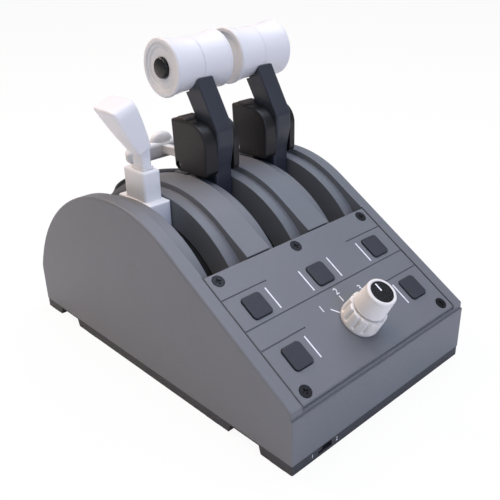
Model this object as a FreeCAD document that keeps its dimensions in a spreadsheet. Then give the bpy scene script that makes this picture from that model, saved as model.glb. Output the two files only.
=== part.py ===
import FreeCAD, Part
import math
import os
from types import SimpleNamespace

# Desk throttle quadrant: a speed brake lever and two thrust levers with reversers on one shaft,
# in a moulded housing with a sloping button panel. Millimetres and degrees. +X right, +Y away from
# the user, +Z up. The origin is under the middle of the housing, on the surface it stands on.

SIZES = [
    # alias, value, meaning
    ("body_width", 150.0, "housing, side to side"),
    ("body_depth", 240.0, "housing, front to back"),
    ("base_top", 6.75, "top of the dark base strip"),
    ("front_height", 34.1, "top of the vertical front face"),
    ("nose_step", 1.04, "set-back of the panel's front edge"),
    ("nose_top", 38.65, "height of the panel's front edge"),
    ("panel_slope", 31.06, "slope of the panel"),
    ("panel_length", 83.6, "panel plate, up the slope"),
    ("plate_half", 66.2, "half the width of the panel plate"),
    ("plate_thick", 2.5, "panel plate"),
    ("plate_gap", 0.7, "groove beside the plate"),
    ("plate_edge", 0.8, "rounding of the plate's edges"),
    ("ledge_thick", 2.0, "ledge under the plate"),
    ("ledge_wide", 4.0, "ledge at the plate's front and back edges"),
    ("opening_half", 58.4, "half the width of the opening under the plate"),
    ("wall", 2.4, "housing wall"),
    ("side_round", 1.5, "rounding of the housing's side edges"),
    ("pivot_y", 18.5, "lever shaft"),
    ("pivot_z", 26.0, "lever shaft"),
    ("lever_pitch", 50.0, "lever to lever"),
    ("channel_wide", 32.4, "channel that the pods run in"),
    ("channel_deep", 3.56, "channel under the crown"),
    ("channel_end", 106.0, "rear end of the channels"),
    ("slot_wide", 15.5, "slot for a lever"),
    ("slot_front", 51.0, "slot's front end, degrees ahead of upright"),
    ("slot_rear", 50.0, "slot's rear end, degrees behind upright"),
    ("slot_wall", 1.6, "walls under the slot"),
    ("slot_foot", 61.0, "radius that the slot's walls reach down to"),
    ("shield_radius", 60.2, "outside of the dust shield"),
    ("shield_thick", 1.6, "dust shield"),
    ("shield_half", 9.6, "half the width of the dust shield"),
    ("shield_span", 52.0, "dust shield, degrees each side of the lever"),
    ("shield_window", 14.0, "gap in the shield for the lever, degrees each side"),
    ("web_thick", 2.0, "fan web that carries the shield"),
    ("web_gap", 0.3, "between the fan web and the lever"),
    ("hub_radius", 14.0, "lever hub"),
    ("hub_half", 14.0, "half the length of a lever hub"),
    ("shaft_radius", 4.0, "lever shaft"),
    ("shaft_half", 70.0, "half the length of the lever shaft"),
    ("running_gap", 0.05, "radial clearance of what turns on a shaft"),
    ("stand_mid", 25.0, "inner shaft stands"),
    ("stand_out", 68.0, "outer shaft stands"),
    ("stand_thick", 4.0, "shaft stand"),
    ("stand_foot", 36.0, "shaft stand's foot, front to back"),
    ("stand_flange", 3.0, "shaft stand's flange"),
    ("stand_flange_wide", 8.0, "shaft stand's flange, one side"),
    ("stand_head", 8.0, "radius round the shaft"),
    ("face_gap", 0.15, "end clearance on the shaft"),
    ("spacer_radius", 6.5, "spacer sleeve on the shaft"),
    ("arm_wide", 13.0, "thrust lever arm"),
    ("arm_front", 8.5, "front of the arm"),
    ("arm_rear", 28.5, "rear of the arm"),
    ("arm_knee", 136.6, "height where the arm starts to lean back"),
    ("arm_belly", 3.0, "how far the arm comes forward under its knee"),
    ("arm_edge", 1.6, "rounding of the arm's edges"),
    ("neck_lean", 31.0, "lean of the arm's upper part"),
    ("neck_front", 9.4, "front of the leaning part from the knob's axis"),
    ("neck_rear", 4.9, "rear of the leaning part from the knob's axis"),
    ("tongue_thick", 8.0, "tongue inside the knob"),
    ("tongue_radius", 8.5, "eye of the tongue"),
    ("knob_y", 37.2, "knob axis"),
    ("knob_z", 171.65, "knob axis"),
    ("knob_half", 21.1, "half the length of a knob"),
    ("knob_end", 17.4, "radius of a knob's ends"),
    ("knob_waist", 15.6, "radius of a knob's middle"),
    ("knob_rim", 2.2, "width of a knob's end rim"),
    ("knob_dish", 0.9, "depth of a knob's end face under its rim"),
    ("cap_radius", 14.6, "screw cover in a knob's plain end"),
    ("cap_thick", 2.4, "screw cover in a knob's plain end"),
    ("cap_ring", 12.1, "step on a knob's end face"),
    ("cap_step", 0.5, "depth of the step on a knob's end face"),
    ("bore_gap", 0.2, "clearance round a button or tongue"),
    ("thumb_radius", 6.1, "disconnect button"),
    ("thumb_rise", 2.6, "disconnect button, proud of its cap"),
    ("thumb_stem", 5.0, "disconnect button, inside its cap"),
    ("thumb_travel", 1.2, "disconnect button"),
    ("knob_screw", 1.5, "radius of the knob's screw"),
    ("knob_screw_head", 2.9, "radius of the knob screw's head"),
    ("pod_front", 6.6, "front of a pod"),
    ("pod_rear", 38.5, "rear of a pod"),
    ("pod_top", 140.9, "top of a pod"),
    ("pod_low_front", 109.4, "underside of a pod at its front"),
    ("pod_low_rear", 108.1, "underside of a pod at its rear"),
    ("pod_heel", 5.1, "slanted lower rear corner of a pod, front to back"),
    ("pod_heel_tall", 2.9, "slanted lower rear corner of a pod, height"),
    ("pod_draft", 1.6, "how far the pod's rear leans in at its heel"),
    ("pod_bend", 13.0, "rounding of a pod's upper front corner"),
    ("pod_corner", 3.0, "rounding of a pod's lower corners"),
    ("pod_left", 9.2, "thickness of the left pod"),
    ("pod_right", 5.1, "thickness of the right pod"),
    ("pod_seat", 0.1, "between a pod and its arm"),
    ("pod_edge", 1.2, "rounding of a pod's outer edge"),
    ("pod_bridge", 5.4, "how far the left pod reaches in behind the arm"),
    ("bridge_start", 29.0, "front of the part of the pod behind the arm"),
    ("bridge_foot", 119.0, "underside of that part"),
    ("tab_front", 26.9, "go-around button"),
    ("tab_long", 7.1, "go-around button, front to back"),
    ("tab_left", -14.0, "go-around button, left side from the arm's middle"),
    ("tab_wide", 12.0, "go-around button"),
    ("tab_rise", 1.5, "go-around button, proud of the pod"),
    ("tab_stem", 3.4, "go-around button, inside the pod"),
    ("tab_travel", 0.8, "go-around button"),
    ("reverse_y", 33.5, "pivot of the reverse lever"),
    ("reverse_z", 112.0, "pivot of the reverse lever"),
    ("reverse_pin", 1.5, "radius of the reverse lever's pin"),
    ("reverse_eye", 4.2, "radius of the reverse lever's eye"),
    ("reverse_thick", 5.0, "thickness of the reverse lever"),
    ("reverse_side", 3.0, "middle of the reverse lever from the arm's middle"),
    ("reverse_deep", 6.4, "depth of the reverse lever's arm"),
    ("pin_recess", 2.4, "recess over the pin's end"),
    ("recess_deep", 1.6, "depth of that recess"),
    ("handle_y", 76.0, "middle of the reverse handle"),
    ("handle_z", 109.8, "middle of the reverse handle"),
    ("handle_left", -27.4, "left end of the reverse handle from the arm's middle"),
    ("handle_right", 21.4, "right end of the reverse handle from the arm's middle"),
    ("handle_deep", 9.6, "reverse handle, front to back"),
    ("handle_tall", 10.6, "reverse handle, height"),
    ("handle_edge", 1.8, "rounding of the reverse handle"),
    ("dome_middle", 3.0, "middle of the handle's thumb dome"),
    ("dome_half", 9.5, "half the length of the thumb dome"),
    ("dome_rise", 5.2, "height of the thumb dome over the handle"),
    ("brake_block", 14.8, "foot block of the speed brake lever, width"),
    ("block_front", 8.0, "foot block, front"),
    ("block_rear", 39.5, "foot block, rear"),
    ("block_front_top", 102.2, "foot block, top at its front edge"),
    ("block_rear_top", 102.5, "foot block, top at its rear edge"),
    ("box_front", 13.8, "box of the speed brake lever, front"),
    ("box_rear", 33.8, "box, rear"),
    ("box_foot", 106.3, "box, foot"),
    ("box_top", 121.2, "box, top"),
    ("box_wide", 12.0, "box, width"),
    ("box_edge", 1.7, "rounding of the box's edges"),
    ("collar_wide", 7.8, "collar of the speed brake neck"),
    ("collar_deep", 12.0, "collar, front to back"),
    ("collar_tall", 1.6, "collar, height"),
    ("neck_wide", 6.2, "speed brake neck"),
    ("neck_long", 10.0, "speed brake neck, front to back"),
    ("neck_y", 22.6, "speed brake neck, middle"),
    ("neck_top", 134.0, "speed brake neck, top"),
    ("head_seat", 130.0, "height that the speed brake head is measured from"),
    ("head_cant", 21.1, "lean of the speed brake head to the left"),
    ("head_foot", 3.6, "speed brake head, lower end up its own axis"),
    ("head_top", 31.8, "speed brake head, upper end up its own axis"),
    ("head_front", 16.2, "speed brake head, front"),
    ("head_rear", 40.0, "speed brake head, upper rear edge"),
    ("head_foot_rear", 27.4, "speed brake head, lower rear edge"),
    ("head_foot_wide", 8.6, "speed brake head, width at its foot"),
    ("head_mid_wide", 13.2, "speed brake head, width at two thirds of its height"),
    ("head_top_wide", 14.6, "speed brake head, width at its top"),
    ("head_bend", 5.5, "rounding between the head's top and front"),
    ("button_wide", 13.3, "panel button, across"),
    ("button_long", 13.9, "panel button, up the slope"),
    ("button_corner", 2.2, "panel button's corner radius"),
    ("button_rise", 1.1, "panel button, proud of the panel"),
    ("button_edge", 0.5, "rounding of the panel button's top"),
    ("button_gap", 0.3, "clearance round a panel button"),
    ("button_flange", 1.2, "flange of a panel button, each side"),
    ("flange_thick", 1.4, "flange of a panel button"),
    ("flange_drop", 0.3, "flange under the plate"),
    ("button_travel", 0.8, "panel button"),
    ("button_row_top", 56.3, "upper row of buttons, up the slope"),
    ("button_row_low", 22.5, "lower row of buttons, up the slope"),
    ("button_pitch", 50.0, "button to button across the panel"),
    ("tact_side", 6.0, "tact switch"),
    ("tact_tall", 1.8, "tact switch"),
    ("screw_side", 59.6, "panel screws from the middle"),
    ("screw_row_top", 78.2, "upper panel screws, up the slope"),
    ("screw_row_low", 5.5, "lower panel screws, up the slope"),
    ("screw_head", 3.4, "radius of a panel screw's head"),
    ("screw_sink", 1.3, "depth of a panel screw's counterbore"),
    ("screw_shank", 1.45, "radius of a screw's shank"),
    ("screw_long", 7.5, "panel screw's shank"),
    ("screw_ring", 0.3, "clearance round a screw's head"),
    ("screw_hole_gap", 0.15, "clearance round a screw's shank"),
    ("boss_radius", 4.0, "screw boss"),
    ("boss_tall", 19.0, "base screw boss"),
    ("rib_thick", 2.0, "rib from a boss to the wall"),
    ("cross_wide", 0.8, "cross recess of a screw"),
    ("cross_long", 3.6, "cross recess of a screw"),
    ("cross_deep", 0.6, "cross recess of a screw"),
    ("line_wide", 0.8, "engraved line"),
    ("line_deep", 0.5, "engraved line"),
    ("line_top", 67.0, "upper engraved line, up the slope"),
    ("line_mid", 46.3, "middle engraved line, up the slope"),
    ("line_low", 33.5, "lower engraved line, up the slope"),
    ("line_reach", 33.9, "inner ends of the upper and lower lines from the middle"),
    ("dial_y", 22.4, "selector, up the slope"),
    ("ring_radius", 11.7, "selector ring at its foot"),
    ("ring_top_radius", 10.9, "selector ring at its top"),
    ("ring_tall", 11.6, "selector ring"),
    ("ring_well", 9.6, "well in the ring's top"),
    ("ring_well_deep", 3.4, "well in the ring's top"),
    ("flute_radius", 1.9, "flute of the selector ring"),
    ("flute_count", 12.0, "flutes of the selector ring"),
    ("flute_deep", 0.75, "flute of the selector ring"),
    ("flange_tall", 1.9, "plain foot of the selector ring"),
    ("dial_gap", 0.3, "under the selector ring"),
    ("spigot_radius", 6.0, "selector ring's spigot in the plate"),
    ("dial_shaft", 3.0, "radius of the selector's shaft"),
    ("dial_hole", 3.3, "selector ring's bore"),
    ("knob_radius", 8.0, "selector knob under its rim"),
    ("knob_foot_radius", 9.2, "selector knob at its foot"),
    ("knob_foot", 9.6, "selector knob's foot over the panel"),
    ("knob_crown", 26.6, "selector knob's top over the panel"),
    ("crown_radius", 7.8, "selector knob's rim"),
    ("crown_tall", 2.4, "selector knob's rim"),
    ("disc_radius", 6.7, "cap of the selector knob"),
    ("disc_thick", 0.8, "cap of the selector knob"),
    ("push_travel", 0.9, "selector knob"),
    ("encoder_side", 14.0, "selector encoder"),
    ("board_thick", 1.6, "circuit board"),
    ("board_drop", 7.4, "panel board's upper side under the panel"),
    ("board_half", 54.0, "half the width of the panel board"),
    ("board_low", 12.0, "panel board's lower edge, up the slope"),
    ("board_high", 72.0, "panel board's upper edge, up the slope"),
    ("post_radius", 2.6, "post under the plate"),
    ("post_x", 29.0, "posts under the plate from the middle"),
    ("post_low", 15.5, "lower posts, up the slope"),
    ("post_high", 68.0, "upper posts, up the slope"),
    ("tray_wall", 6.0, "rim of the base"),
    ("tray_floor", 2.5, "floor of the base"),
    ("foot_tall", 0.8, "rubber feet under the base"),
    ("foot_sink", 0.6, "recess for a rubber foot"),
    ("foot_long", 12.0, "rubber foot, front to back"),
    ("foot_wide", 5.0, "rubber foot, across"),
    ("notch_tall", 5.9, "top of the gaps between the feet"),
    ("notch_in", 8.0, "how far those gaps reach in"),
    ("notch_front", -98.3, "front gap, front end"),
    ("notch_front_end", -72.5, "front gap, rear end"),
    ("notch_rear", 78.0, "rear gap, front end"),
    ("notch_rear_end", 102.5, "rear gap, rear end"),
    ("notch_slant", 2.0, "slant of a gap's ends"),
    ("base_screw_x", 66.0, "base screws"),
    ("base_screw_front", -108.0, "front base screws"),
    ("base_screw_mid", -24.0, "middle base screws"),
    ("base_screw_rear", 110.0, "rear base screws"),
    ("base_screw_head", 2.8, "radius of a base screw's head"),
    ("base_screw_long", 12.0, "base screw's shank"),
    ("mode_x", -50.2, "mode switch, middle of its slot"),
    ("mode_wide", 10.6, "mode switch's slot"),
    ("mode_low", 2.4, "mode switch's slot, lower edge"),
    ("mode_high", 6.0, "mode switch's slot, upper edge"),
    ("mode_nub", 3.4, "mode switch's slider"),
    ("mode_travel", 6.4, "mode switch's slider"),
    ("mode_gap", 0.4, "clearance round the slider"),
    ("mode_body", 13.6, "mode switch's body, across"),
    ("mode_body_deep", 6.0, "mode switch's body, front to back"),
    ("main_board_x", 12.0, "main board, middle"),
    ("main_board_wide", 72.0, "main board"),
    ("main_board_front", 83.0, "main board, front edge"),
    ("main_board_rear", 115.0, "main board, rear edge"),
    ("main_board_z", 11.0, "main board, underside"),
    ("main_post", 3.0, "radius of the posts under the main board"),
    ("port_x", 35.0, "cable socket"),
    ("port_wide", 9.0, "cable socket"),
    ("port_tall", 3.3, "cable socket"),
    ("port_long", 7.6, "cable socket"),
    ("port_wall", 0.5, "cable socket's shell"),
    ("port_window", 13.4, "window in the rear wall for the plug"),
    ("port_window_tall", 8.0, "window in the rear wall for the plug"),
    ("plug_wide", 12.0, "plug on the device end"),
    ("plug_tall", 6.6, "plug on the device end"),
    ("plug_long", 20.0, "plug on the device end"),
    ("relief_long", 14.0, "strain relief behind the plug"),
    ("relief_radius", 2.8, "strain relief, thick end"),
    ("cable_radius", 2.0, "cable"),
    ("coil_x", 127.0, "coil of spare cable, middle"),
    ("coil_y", 238.0, "coil of spare cable, middle"),
    ("coil_out", 59.0, "coil, outside radius"),
    ("coil_in", 46.5, "coil, inside radius"),
    ("coil_tall", 8.0, "coil, height"),
    ("usb_wide", 15.0, "plug on the far end"),
    ("usb_tall", 8.0, "plug on the far end"),
    ("usb_grip", 24.0, "plug on the far end, moulded grip"),
    ("usb_shell_wide", 12.0, "plug's metal shell"),
    ("usb_shell_tall", 4.5, "plug's metal shell"),
    ("usb_shell_long", 12.0, "plug's metal shell"),
]

V = FreeCAD.Vector
doc = FreeCAD.newDocument("throttle_quadrant")
dims = doc.addObject("Spreadsheet::Sheet", "dims")
for row, (alias, value, meaning) in enumerate(SIZES, start=1):
    dims.set(f"A{row}", meaning)
    dims.set(f"B{row}", str(value))
    dims.setAlias(f"B{row}", alias)
doc.recompute()
v = SimpleNamespace(**{alias: float(dims.get(alias)) for alias, _, _ in SIZES})

# ---------------------------------------------------------------- derived places

front_y = -v.body_depth / 2
rear_y = v.body_depth / 2
nose_y = front_y + v.nose_step
slope = math.radians(v.panel_slope)
crown = math.sin(slope) * (v.pivot_y - nose_y) - math.cos(slope) * (v.pivot_z - v.nose_top)
back = crown + v.pivot_z
LEVERS = (-v.lever_pitch, 0.0, v.lever_pitch)


def polar(radius, angle):
    """A point about the lever shaft: angle in degrees from upright, positive to the rear."""
    a = math.radians(angle)
    return (v.pivot_y + radius * math.sin(a), v.pivot_z + radius * math.cos(a))


def along(up, out=0.0):
    """A point (y, z) up the panel's slope and out from its face."""
    return (nose_y + up * math.cos(slope) - out * math.sin(slope),
            v.nose_top + up * math.sin(slope) + out * math.cos(slope))


def behind(radius, y):
    """A point (y, z) on an arc about the point on the ground under the shaft."""
    return (y, math.sqrt(radius ** 2 - (y - v.pivot_y) ** 2))


def on_slope(radius, up):
    """The point at that distance up the slope and that distance from the shaft."""
    foot = (v.pivot_y - nose_y) * math.cos(slope) + (v.pivot_z - v.nose_top) * math.sin(slope)
    return along(up, math.sqrt(radius ** 2 - (foot - up) ** 2) - crown)


PANEL = FreeCAD.Placement(V(0, nose_y, v.nose_top), FreeCAD.Rotation(V(1, 0, 0), v.panel_slope))
FINISHED = []

# ---------------------------------------------------------------- outlines


def outline(start, *steps):
    """Closed curves from start. A step is a point, or a point on an arc and the arc's end."""
    curves = []
    here = V(*start, 0)
    for step in steps:
        if isinstance(step[0], tuple):
            mid, there = V(*step[0], 0), V(*step[1], 0)
            curves.append(Part.Arc(here, mid, there))
        else:
            there = V(*step, 0)
            curves.append(Part.LineSegment(here, there))
        here = there
    if not here.isEqual(V(*start, 0), 1e-6):
        curves.append(Part.LineSegment(here, V(*start, 0)))
    return curves


def rounded(corners):
    """Closed curves through corners (a, b, radius), each rounded to its radius."""
    points = [V(a, b, 0) for a, b, _ in corners]
    count = len(points)
    ends = []
    for i, (_, _, radius) in enumerate(corners):
        before = (points[i - 1] - points[i]).normalize()
        after = (points[(i + 1) % count] - points[i]).normalize()
        half = before.getAngle(after) / 2
        reach = radius / math.tan(half)
        middle = points[i] + (before + after).normalize() * (radius / math.sin(half) - radius)
        ends.append((points[i] + before * reach, middle, points[i] + after * reach, radius))
    curves = []
    for i, (first, middle, last, radius) in enumerate(ends):
        if radius:
            curves.append(Part.Arc(first, middle, last))
        curves.append(Part.LineSegment(last, ends[(i + 1) % count][0]))
    return curves


def rectangle(a0, b0, a1, b1, radius=0.0):
    return rounded([(a0, b0, radius), (a1, b0, radius), (a1, b1, radius), (a0, b1, radius)])


def circle(a, b, radius):
    return [Part.Circle(V(a, b, 0), V(0, 0, 1), radius)]


def sector(inner, outer, front, rear):
    """A ring sector about the shaft, from front to rear degrees behind upright."""
    mid = (front + rear) / 2
    start = polar(inner, front)
    return outline(start, polar(outer, front), (polar(outer, mid), polar(outer, rear)),
                   polar(inner, rear), (polar(inner, mid), start))


# ---------------------------------------------------------------- features


def body_named(label, placement=None):
    body = doc.addObject("PartDesign::Body", label)
    body.Label = label
    if placement:
        body.Placement = placement
    FINISHED.append(body)
    return body


def sketch_in(body, role, curves, offset):
    plane = [f for f in body.Origin.OriginFeatures if f.Role == role][0]
    sketch = body.newObject("Sketcher::SketchObject", body.Name + "_sketch")
    sketch.AttachmentSupport = [(plane, "")]
    sketch.MapMode = "FlatFace"
    for curve in curves:
        sketch.addGeometry(curve, False)
    if offset:
        sketch.setExpression(".AttachmentOffset.Base.z", offset)
    return sketch


def extrude(body, kind, role, curves, length, offset=None):
    """A pad or a pocket of that length, half of it each side of the plane at that offset."""
    before = body.Shape.Volume if body.Tip else 0.0
    sketch = sketch_in(body, role, curves, offset)
    feature = body.newObject("PartDesign::" + kind, body.Name + "_" + kind.lower())
    feature.Profile = sketch
    feature.SideType = "Symmetric"
    feature.setExpression("Length", length)
    doc.recompute()
    change = body.Shape.Volume - before
    if (change >= 0) == (kind == "Pocket"):
        raise RuntimeError(f"{body.Label}: {feature.Name} {feature.getStatusString()}")
    return feature


def pad(body, role, curves, length, offset=None):
    return extrude(body, "Pad", role, curves, length, offset)


def pocket(body, role, curves, length, offset=None):
    return extrude(body, "Pocket", role, curves, length, offset)


def turned(body, kind, role, curves, axis_role):
    """A revolution or a groove of a full turn about one of the body's own axes."""
    before = body.Shape.Volume if body.Tip else 0.0
    sketch = sketch_in(body, role, curves, None)
    feature = body.newObject("PartDesign::" + kind, body.Name + "_" + kind.lower())
    feature.Profile = sketch
    axis = [f for f in body.Origin.OriginFeatures if f.Role == axis_role][0]
    feature.ReferenceAxis = (axis, [""])
    feature.Angle = 360
    doc.recompute()
    change = body.Shape.Volume - before
    if (change >= 0) == (kind == "Groove"):
        raise RuntimeError(f"{body.Label}: {feature.Name} {feature.getStatusString()}")
    return feature


def round_edges(body, radius, chosen):
    """Fillets the edges of the body's tip that chosen(edge) picks."""
    solid = body.Tip
    names = [f"Edge{i}" for i, edge in enumerate(solid.Shape.Edges, start=1) if chosen(edge)]
    if not names:
        raise RuntimeError(f"{body.Label}: no edge to round")
    fillet = body.newObject("PartDesign::Fillet", body.Name + "_fillet")
    fillet.Base = (solid, names)
    fillet.setExpression("Radius", radius)
    doc.recompute()
    if "Invalid" in fillet.State:
        raise RuntimeError(f"{body.Label}: {fillet.Name} {fillet.getStatusString()}")
    return fillet


def on_plane(edge, axis, value):
    """Whether an edge lies wholly at that value of x, y or z in its body's frame."""
    box = edge.BoundBox
    low, high = {"x": (box.XMin, box.XMax), "y": (box.YMin, box.YMax), "z": (box.ZMin, box.ZMax)}[axis]
    return abs(low - value) < 1e-4 and abs(high - value) < 1e-4


def fused(label, pieces, placement=None):
    """Separate solids, or overlapping ones, kept as one object."""
    fuse = doc.addObject("Part::MultiFuse", label)
    fuse.Label = label
    fuse.Shapes = pieces
    if placement:
        fuse.Placement = placement
    FINISHED.append(fuse)
    return fuse


def cylinder(name, radius, height, centre, axis=(0, 0, 1)):
    """A cylinder whose radius and height follow the sheet, from centre along axis."""
    solid = doc.addObject("Part::Cylinder", name)
    solid.setExpression("Radius", radius)
    solid.setExpression("Height", height)
    solid.Placement = FreeCAD.Placement(V(*centre), FreeCAD.Rotation(V(0, 0, 1), V(*axis)))
    return solid


def cuboid(name, sizes, corner):
    """A box whose sizes follow the sheet, from its lowest corner."""
    solid = doc.addObject("Part::Box", name)
    for side, expression in zip(("Length", "Width", "Height"), sizes):
        solid.setExpression(side, expression)
    solid.Placement.Base = V(*corner)
    return solid


def minus(name, base, tool):
    cut = doc.addObject("Part::Cut", name)
    cut.Base = base
    cut.Tool = tool
    return cut


def keep(solid, label, placement=None):
    """Marks an object as a finished piece with that label."""
    solid.Label = label
    if placement:
        solid.Placement = placement
    FINISHED.append(solid)
    return solid


# ---------------------------------------------------------------- housing


def top_shell():
    """The grey moulding: cheeks and bands with channels and slots between them, open below."""
    shell = body_named("top_shell")
    tangent = polar(crown, -v.panel_slope)
    top = (v.pivot_y, back)
    rear_top = behind(back, rear_y)
    pad(shell, "YZ_Plane", outline(
        (front_y, v.base_top), (front_y, v.front_height), (nose_y, v.front_height), (nose_y, v.nose_top),
        tangent, (polar(crown, -v.panel_slope / 2), top),
        (behind(back, (v.pivot_y + rear_y) / 2), rear_top), (rear_y, v.base_top)), "dims.body_width")
    half = v.body_width / 2
    round_edges(shell, "dims.side_round", lambda e: (on_plane(e, "x", half) or on_plane(e, "x", -half))
                and e.BoundBox.ZMax > v.nose_top + 1 and e.BoundBox.YLength > 1)
    # the hollow inside, under the panel's ledge, the channels and the rear
    ceiling = -v.plate_thick - v.ledge_thick
    inner = crown - v.channel_deep - v.wall
    ledge_end = v.panel_length - v.ledge_wide
    start = on_slope(inner, ledge_end)
    turn = math.degrees(math.atan2(start[0] - v.pivot_y, start[1] - v.pivot_z))
    inside_front = front_y + v.wall
    first_up = (inside_front - along(0, ceiling)[0]) / math.cos(slope)
    pocket(shell, "YZ_Plane", outline(
        (inside_front, v.base_top - 1), along(first_up, ceiling), along(ledge_end, ceiling), start,
        (polar(inner, turn / 2), polar(inner, 0)),
        (behind(inner + v.pivot_z, (v.pivot_y + rear_y) / 2), behind(inner + v.pivot_z, rear_y - v.wall)),
        (rear_y - v.wall, v.base_top - 1)), "dims.body_width - 2 * dims.wall")
    # the plate's recess and the opening under it
    recess_end = v.panel_length + v.plate_gap / 2
    pocket(shell, "YZ_Plane", outline(along(-4, -v.plate_thick), along(-4, 6), along(recess_end, 6),
                                      along(recess_end, -v.plate_thick)),
           "2 * (dims.plate_half + dims.plate_gap)")
    pocket(shell, "YZ_Plane", outline(along(v.ledge_wide, ceiling - 1), along(v.ledge_wide, 0),
                                      along(ledge_end, 0), along(ledge_end, ceiling - 1)),
           "2 * dims.opening_half")
    # channels, then the walls under their slots, then the slots
    floor = crown - v.channel_deep
    front = on_slope(floor, recess_end)
    bend = math.degrees(math.atan2(front[0] - v.pivot_y, front[1] - v.pivot_z))
    end_low = behind(floor + v.pivot_z, v.channel_end)
    over = back + 20
    for n, x in enumerate(LEVERS):
        shift = f"dims.lever_pitch * {n - 1}"
        pocket(shell, "YZ_Plane", outline(
            front, (polar(floor, bend / 2), polar(floor, 0)),
            (behind(floor + v.pivot_z, (v.pivot_y + v.channel_end) / 2), end_low),
            (v.channel_end, over), (along(recess_end, 6)[0], over), along(recess_end, 6)),
            "dims.channel_wide", shift)
        pad(shell, "YZ_Plane", sector(v.slot_foot, inner + v.wall / 2, -v.slot_front - 2, v.slot_rear + 2),
            "dims.slot_wide + 2 * dims.slot_wall", shift)
        pocket(shell, "YZ_Plane", sector(v.slot_foot - 2, crown + 4, -v.slot_front, v.slot_rear),
               "dims.slot_wide", shift)
    # bosses for the panel's screws
    for x, up in panel_screw_places():
        boss_in(shell, x, up)
    # bosses for the base screws, each on a rib from the wall
    for x, y in base_screw_places():
        pad(shell, "XY_Plane", circle(x, y, v.boss_radius), "dims.boss_tall",
            "dims.base_top + dims.boss_tall / 2")
    ribs = []
    wall = v.body_width / 2 - v.wall / 2
    for x, y in base_screw_places():
        near, far = sorted((x, math.copysign(wall, x)))
        ribs += rectangle(near, y - v.rib_thick / 2, far, y + v.rib_thick / 2)
    pad(shell, "XY_Plane", ribs, "dims.boss_tall - 1", "dims.base_top + (dims.boss_tall + 1) / 2")
    for x, y in base_screw_places():
        pocket(shell, "XY_Plane", circle(x, y, v.screw_shank + v.screw_hole_gap), "2 * dims.base_screw_long",
               "dims.base_top")
    # window for the cable's plug
    low = v.main_board_z + v.board_thick + v.port_tall / 2 - v.port_window_tall / 2
    side = v.port_window / 2
    pocket(shell, "XZ_Plane", rectangle(v.port_x - side, low, v.port_x + side, low + v.port_window_tall, 2),
           "3 * dims.wall", "-dims.body_depth / 2")


def panel_screw_places():
    sides = [(-v.screw_side, v.screw_row_low), (v.screw_side, v.screw_row_low)]
    return sides + [(x, v.screw_row_top) for x in (-v.screw_side, 0.0, v.screw_side)]


def base_screw_places():
    rows = (v.base_screw_front, v.base_screw_mid, v.base_screw_rear)
    return [(x, y) for y in rows for x in (-v.base_screw_x, v.base_screw_x)]


def boss_in(shell, x, up):
    """A boss under the ledge, square to the panel, with the screw's hole in it."""
    reach = v.screw_long + v.screw_sink
    frame = shell.newObject("PartDesign::AdditiveCylinder", "panel_boss")
    frame.setExpression("Radius", "dims.boss_radius")
    frame.setExpression("Height", "dims.screw_long + dims.screw_sink - dims.plate_thick")
    frame.Placement = PANEL.multiply(FreeCAD.Placement(V(x, up, -reach), FreeCAD.Rotation()))
    doc.recompute()
    hole = shell.newObject("PartDesign::SubtractiveCylinder", "panel_hole")
    hole.setExpression("Radius", "dims.screw_shank + dims.screw_hole_gap")
    hole.setExpression("Height", "dims.screw_long + dims.screw_sink")
    hole.Placement = PANEL.multiply(FreeCAD.Placement(V(x, up, -reach - 1), FreeCAD.Rotation()))
    doc.recompute()


def base_plate():
    """The dark base: a rim with gaps between its feet, a floor, posts and the mode switch's slot."""
    base = body_named("base_plate")
    half, rim = v.body_width / 2, v.body_width / 2 - v.tray_wall
    tall = f"dims.base_top - dims.foot_tall"
    pad(base, "XY_Plane", rectangle(-half, front_y, half, rear_y, 1.0), tall,
        "(dims.base_top + dims.foot_tall) / 2")
    under = "2 * (dims.base_top - dims.tray_floor - dims.foot_tall)"
    pocket(base, "XY_Plane", rectangle(-rim, front_y + v.tray_wall, rim, rear_y - v.tray_wall, 3.0), under,
           "dims.foot_tall")
    for start, end in ((v.notch_front, v.notch_front_end), (v.notch_rear, v.notch_rear_end)):
        for side, sign in ((-half, -1), (half, 1)):
            slant = v.notch_slant
            pocket(base, "YZ_Plane", outline((start, -1), (start + slant, v.notch_tall),
                                             (end - slant, v.notch_tall), (end, -1)),
                   "2 * dims.notch_in", f"dims.body_width / 2 * {sign}")
    for x, y in foot_places():
        a, b = v.foot_wide / 2, v.foot_long / 2
        pocket(base, "XY_Plane", rectangle(x - a, y - b, x + a, y + b, 1.0), "2 * dims.foot_sink",
               "dims.foot_tall")
    for x, y in base_screw_places():
        pocket(base, "XY_Plane", circle(x, y, v.screw_shank + v.screw_hole_gap), "4 * dims.base_top",
               "dims.base_top")
    # bay and slot of the mode switch
    bay = v.mode_body / 2 + v.mode_gap
    inner = front_y + v.tray_wall
    pocket(base, "XY_Plane", rectangle(v.mode_x - bay, inner - 0.6, v.mode_x + bay,
                                       inner + v.mode_body_deep + v.mode_gap), "4 * dims.base_top",
           "dims.base_top")
    pocket(base, "XZ_Plane", rectangle(v.mode_x - v.mode_wide / 2, v.mode_low, v.mode_x + v.mode_wide / 2,
                                       v.mode_high, 0.4), "2 * dims.tray_wall", "dims.body_depth / 2")
    # posts for the main board, holes for the stands' screws
    for x, y in main_post_places():
        pad(base, "XY_Plane", circle(x, y, v.main_post), "dims.main_board_z - dims.base_top + 1",
            "(dims.main_board_z + dims.base_top - 1) / 2")
    for x, y in stand_screw_places():
        pocket(base, "XY_Plane", circle(x, y, v.screw_shank), "2 * dims.tray_floor", "dims.base_top")


def foot_places():
    x = v.body_width / 2 - v.tray_wall / 2
    rows = (front_y + 11, v.notch_front_end + 14, v.notch_rear - 14, rear_y - 8.5)
    return [(side * x, y) for y in rows for side in (-1, 1)]


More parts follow.
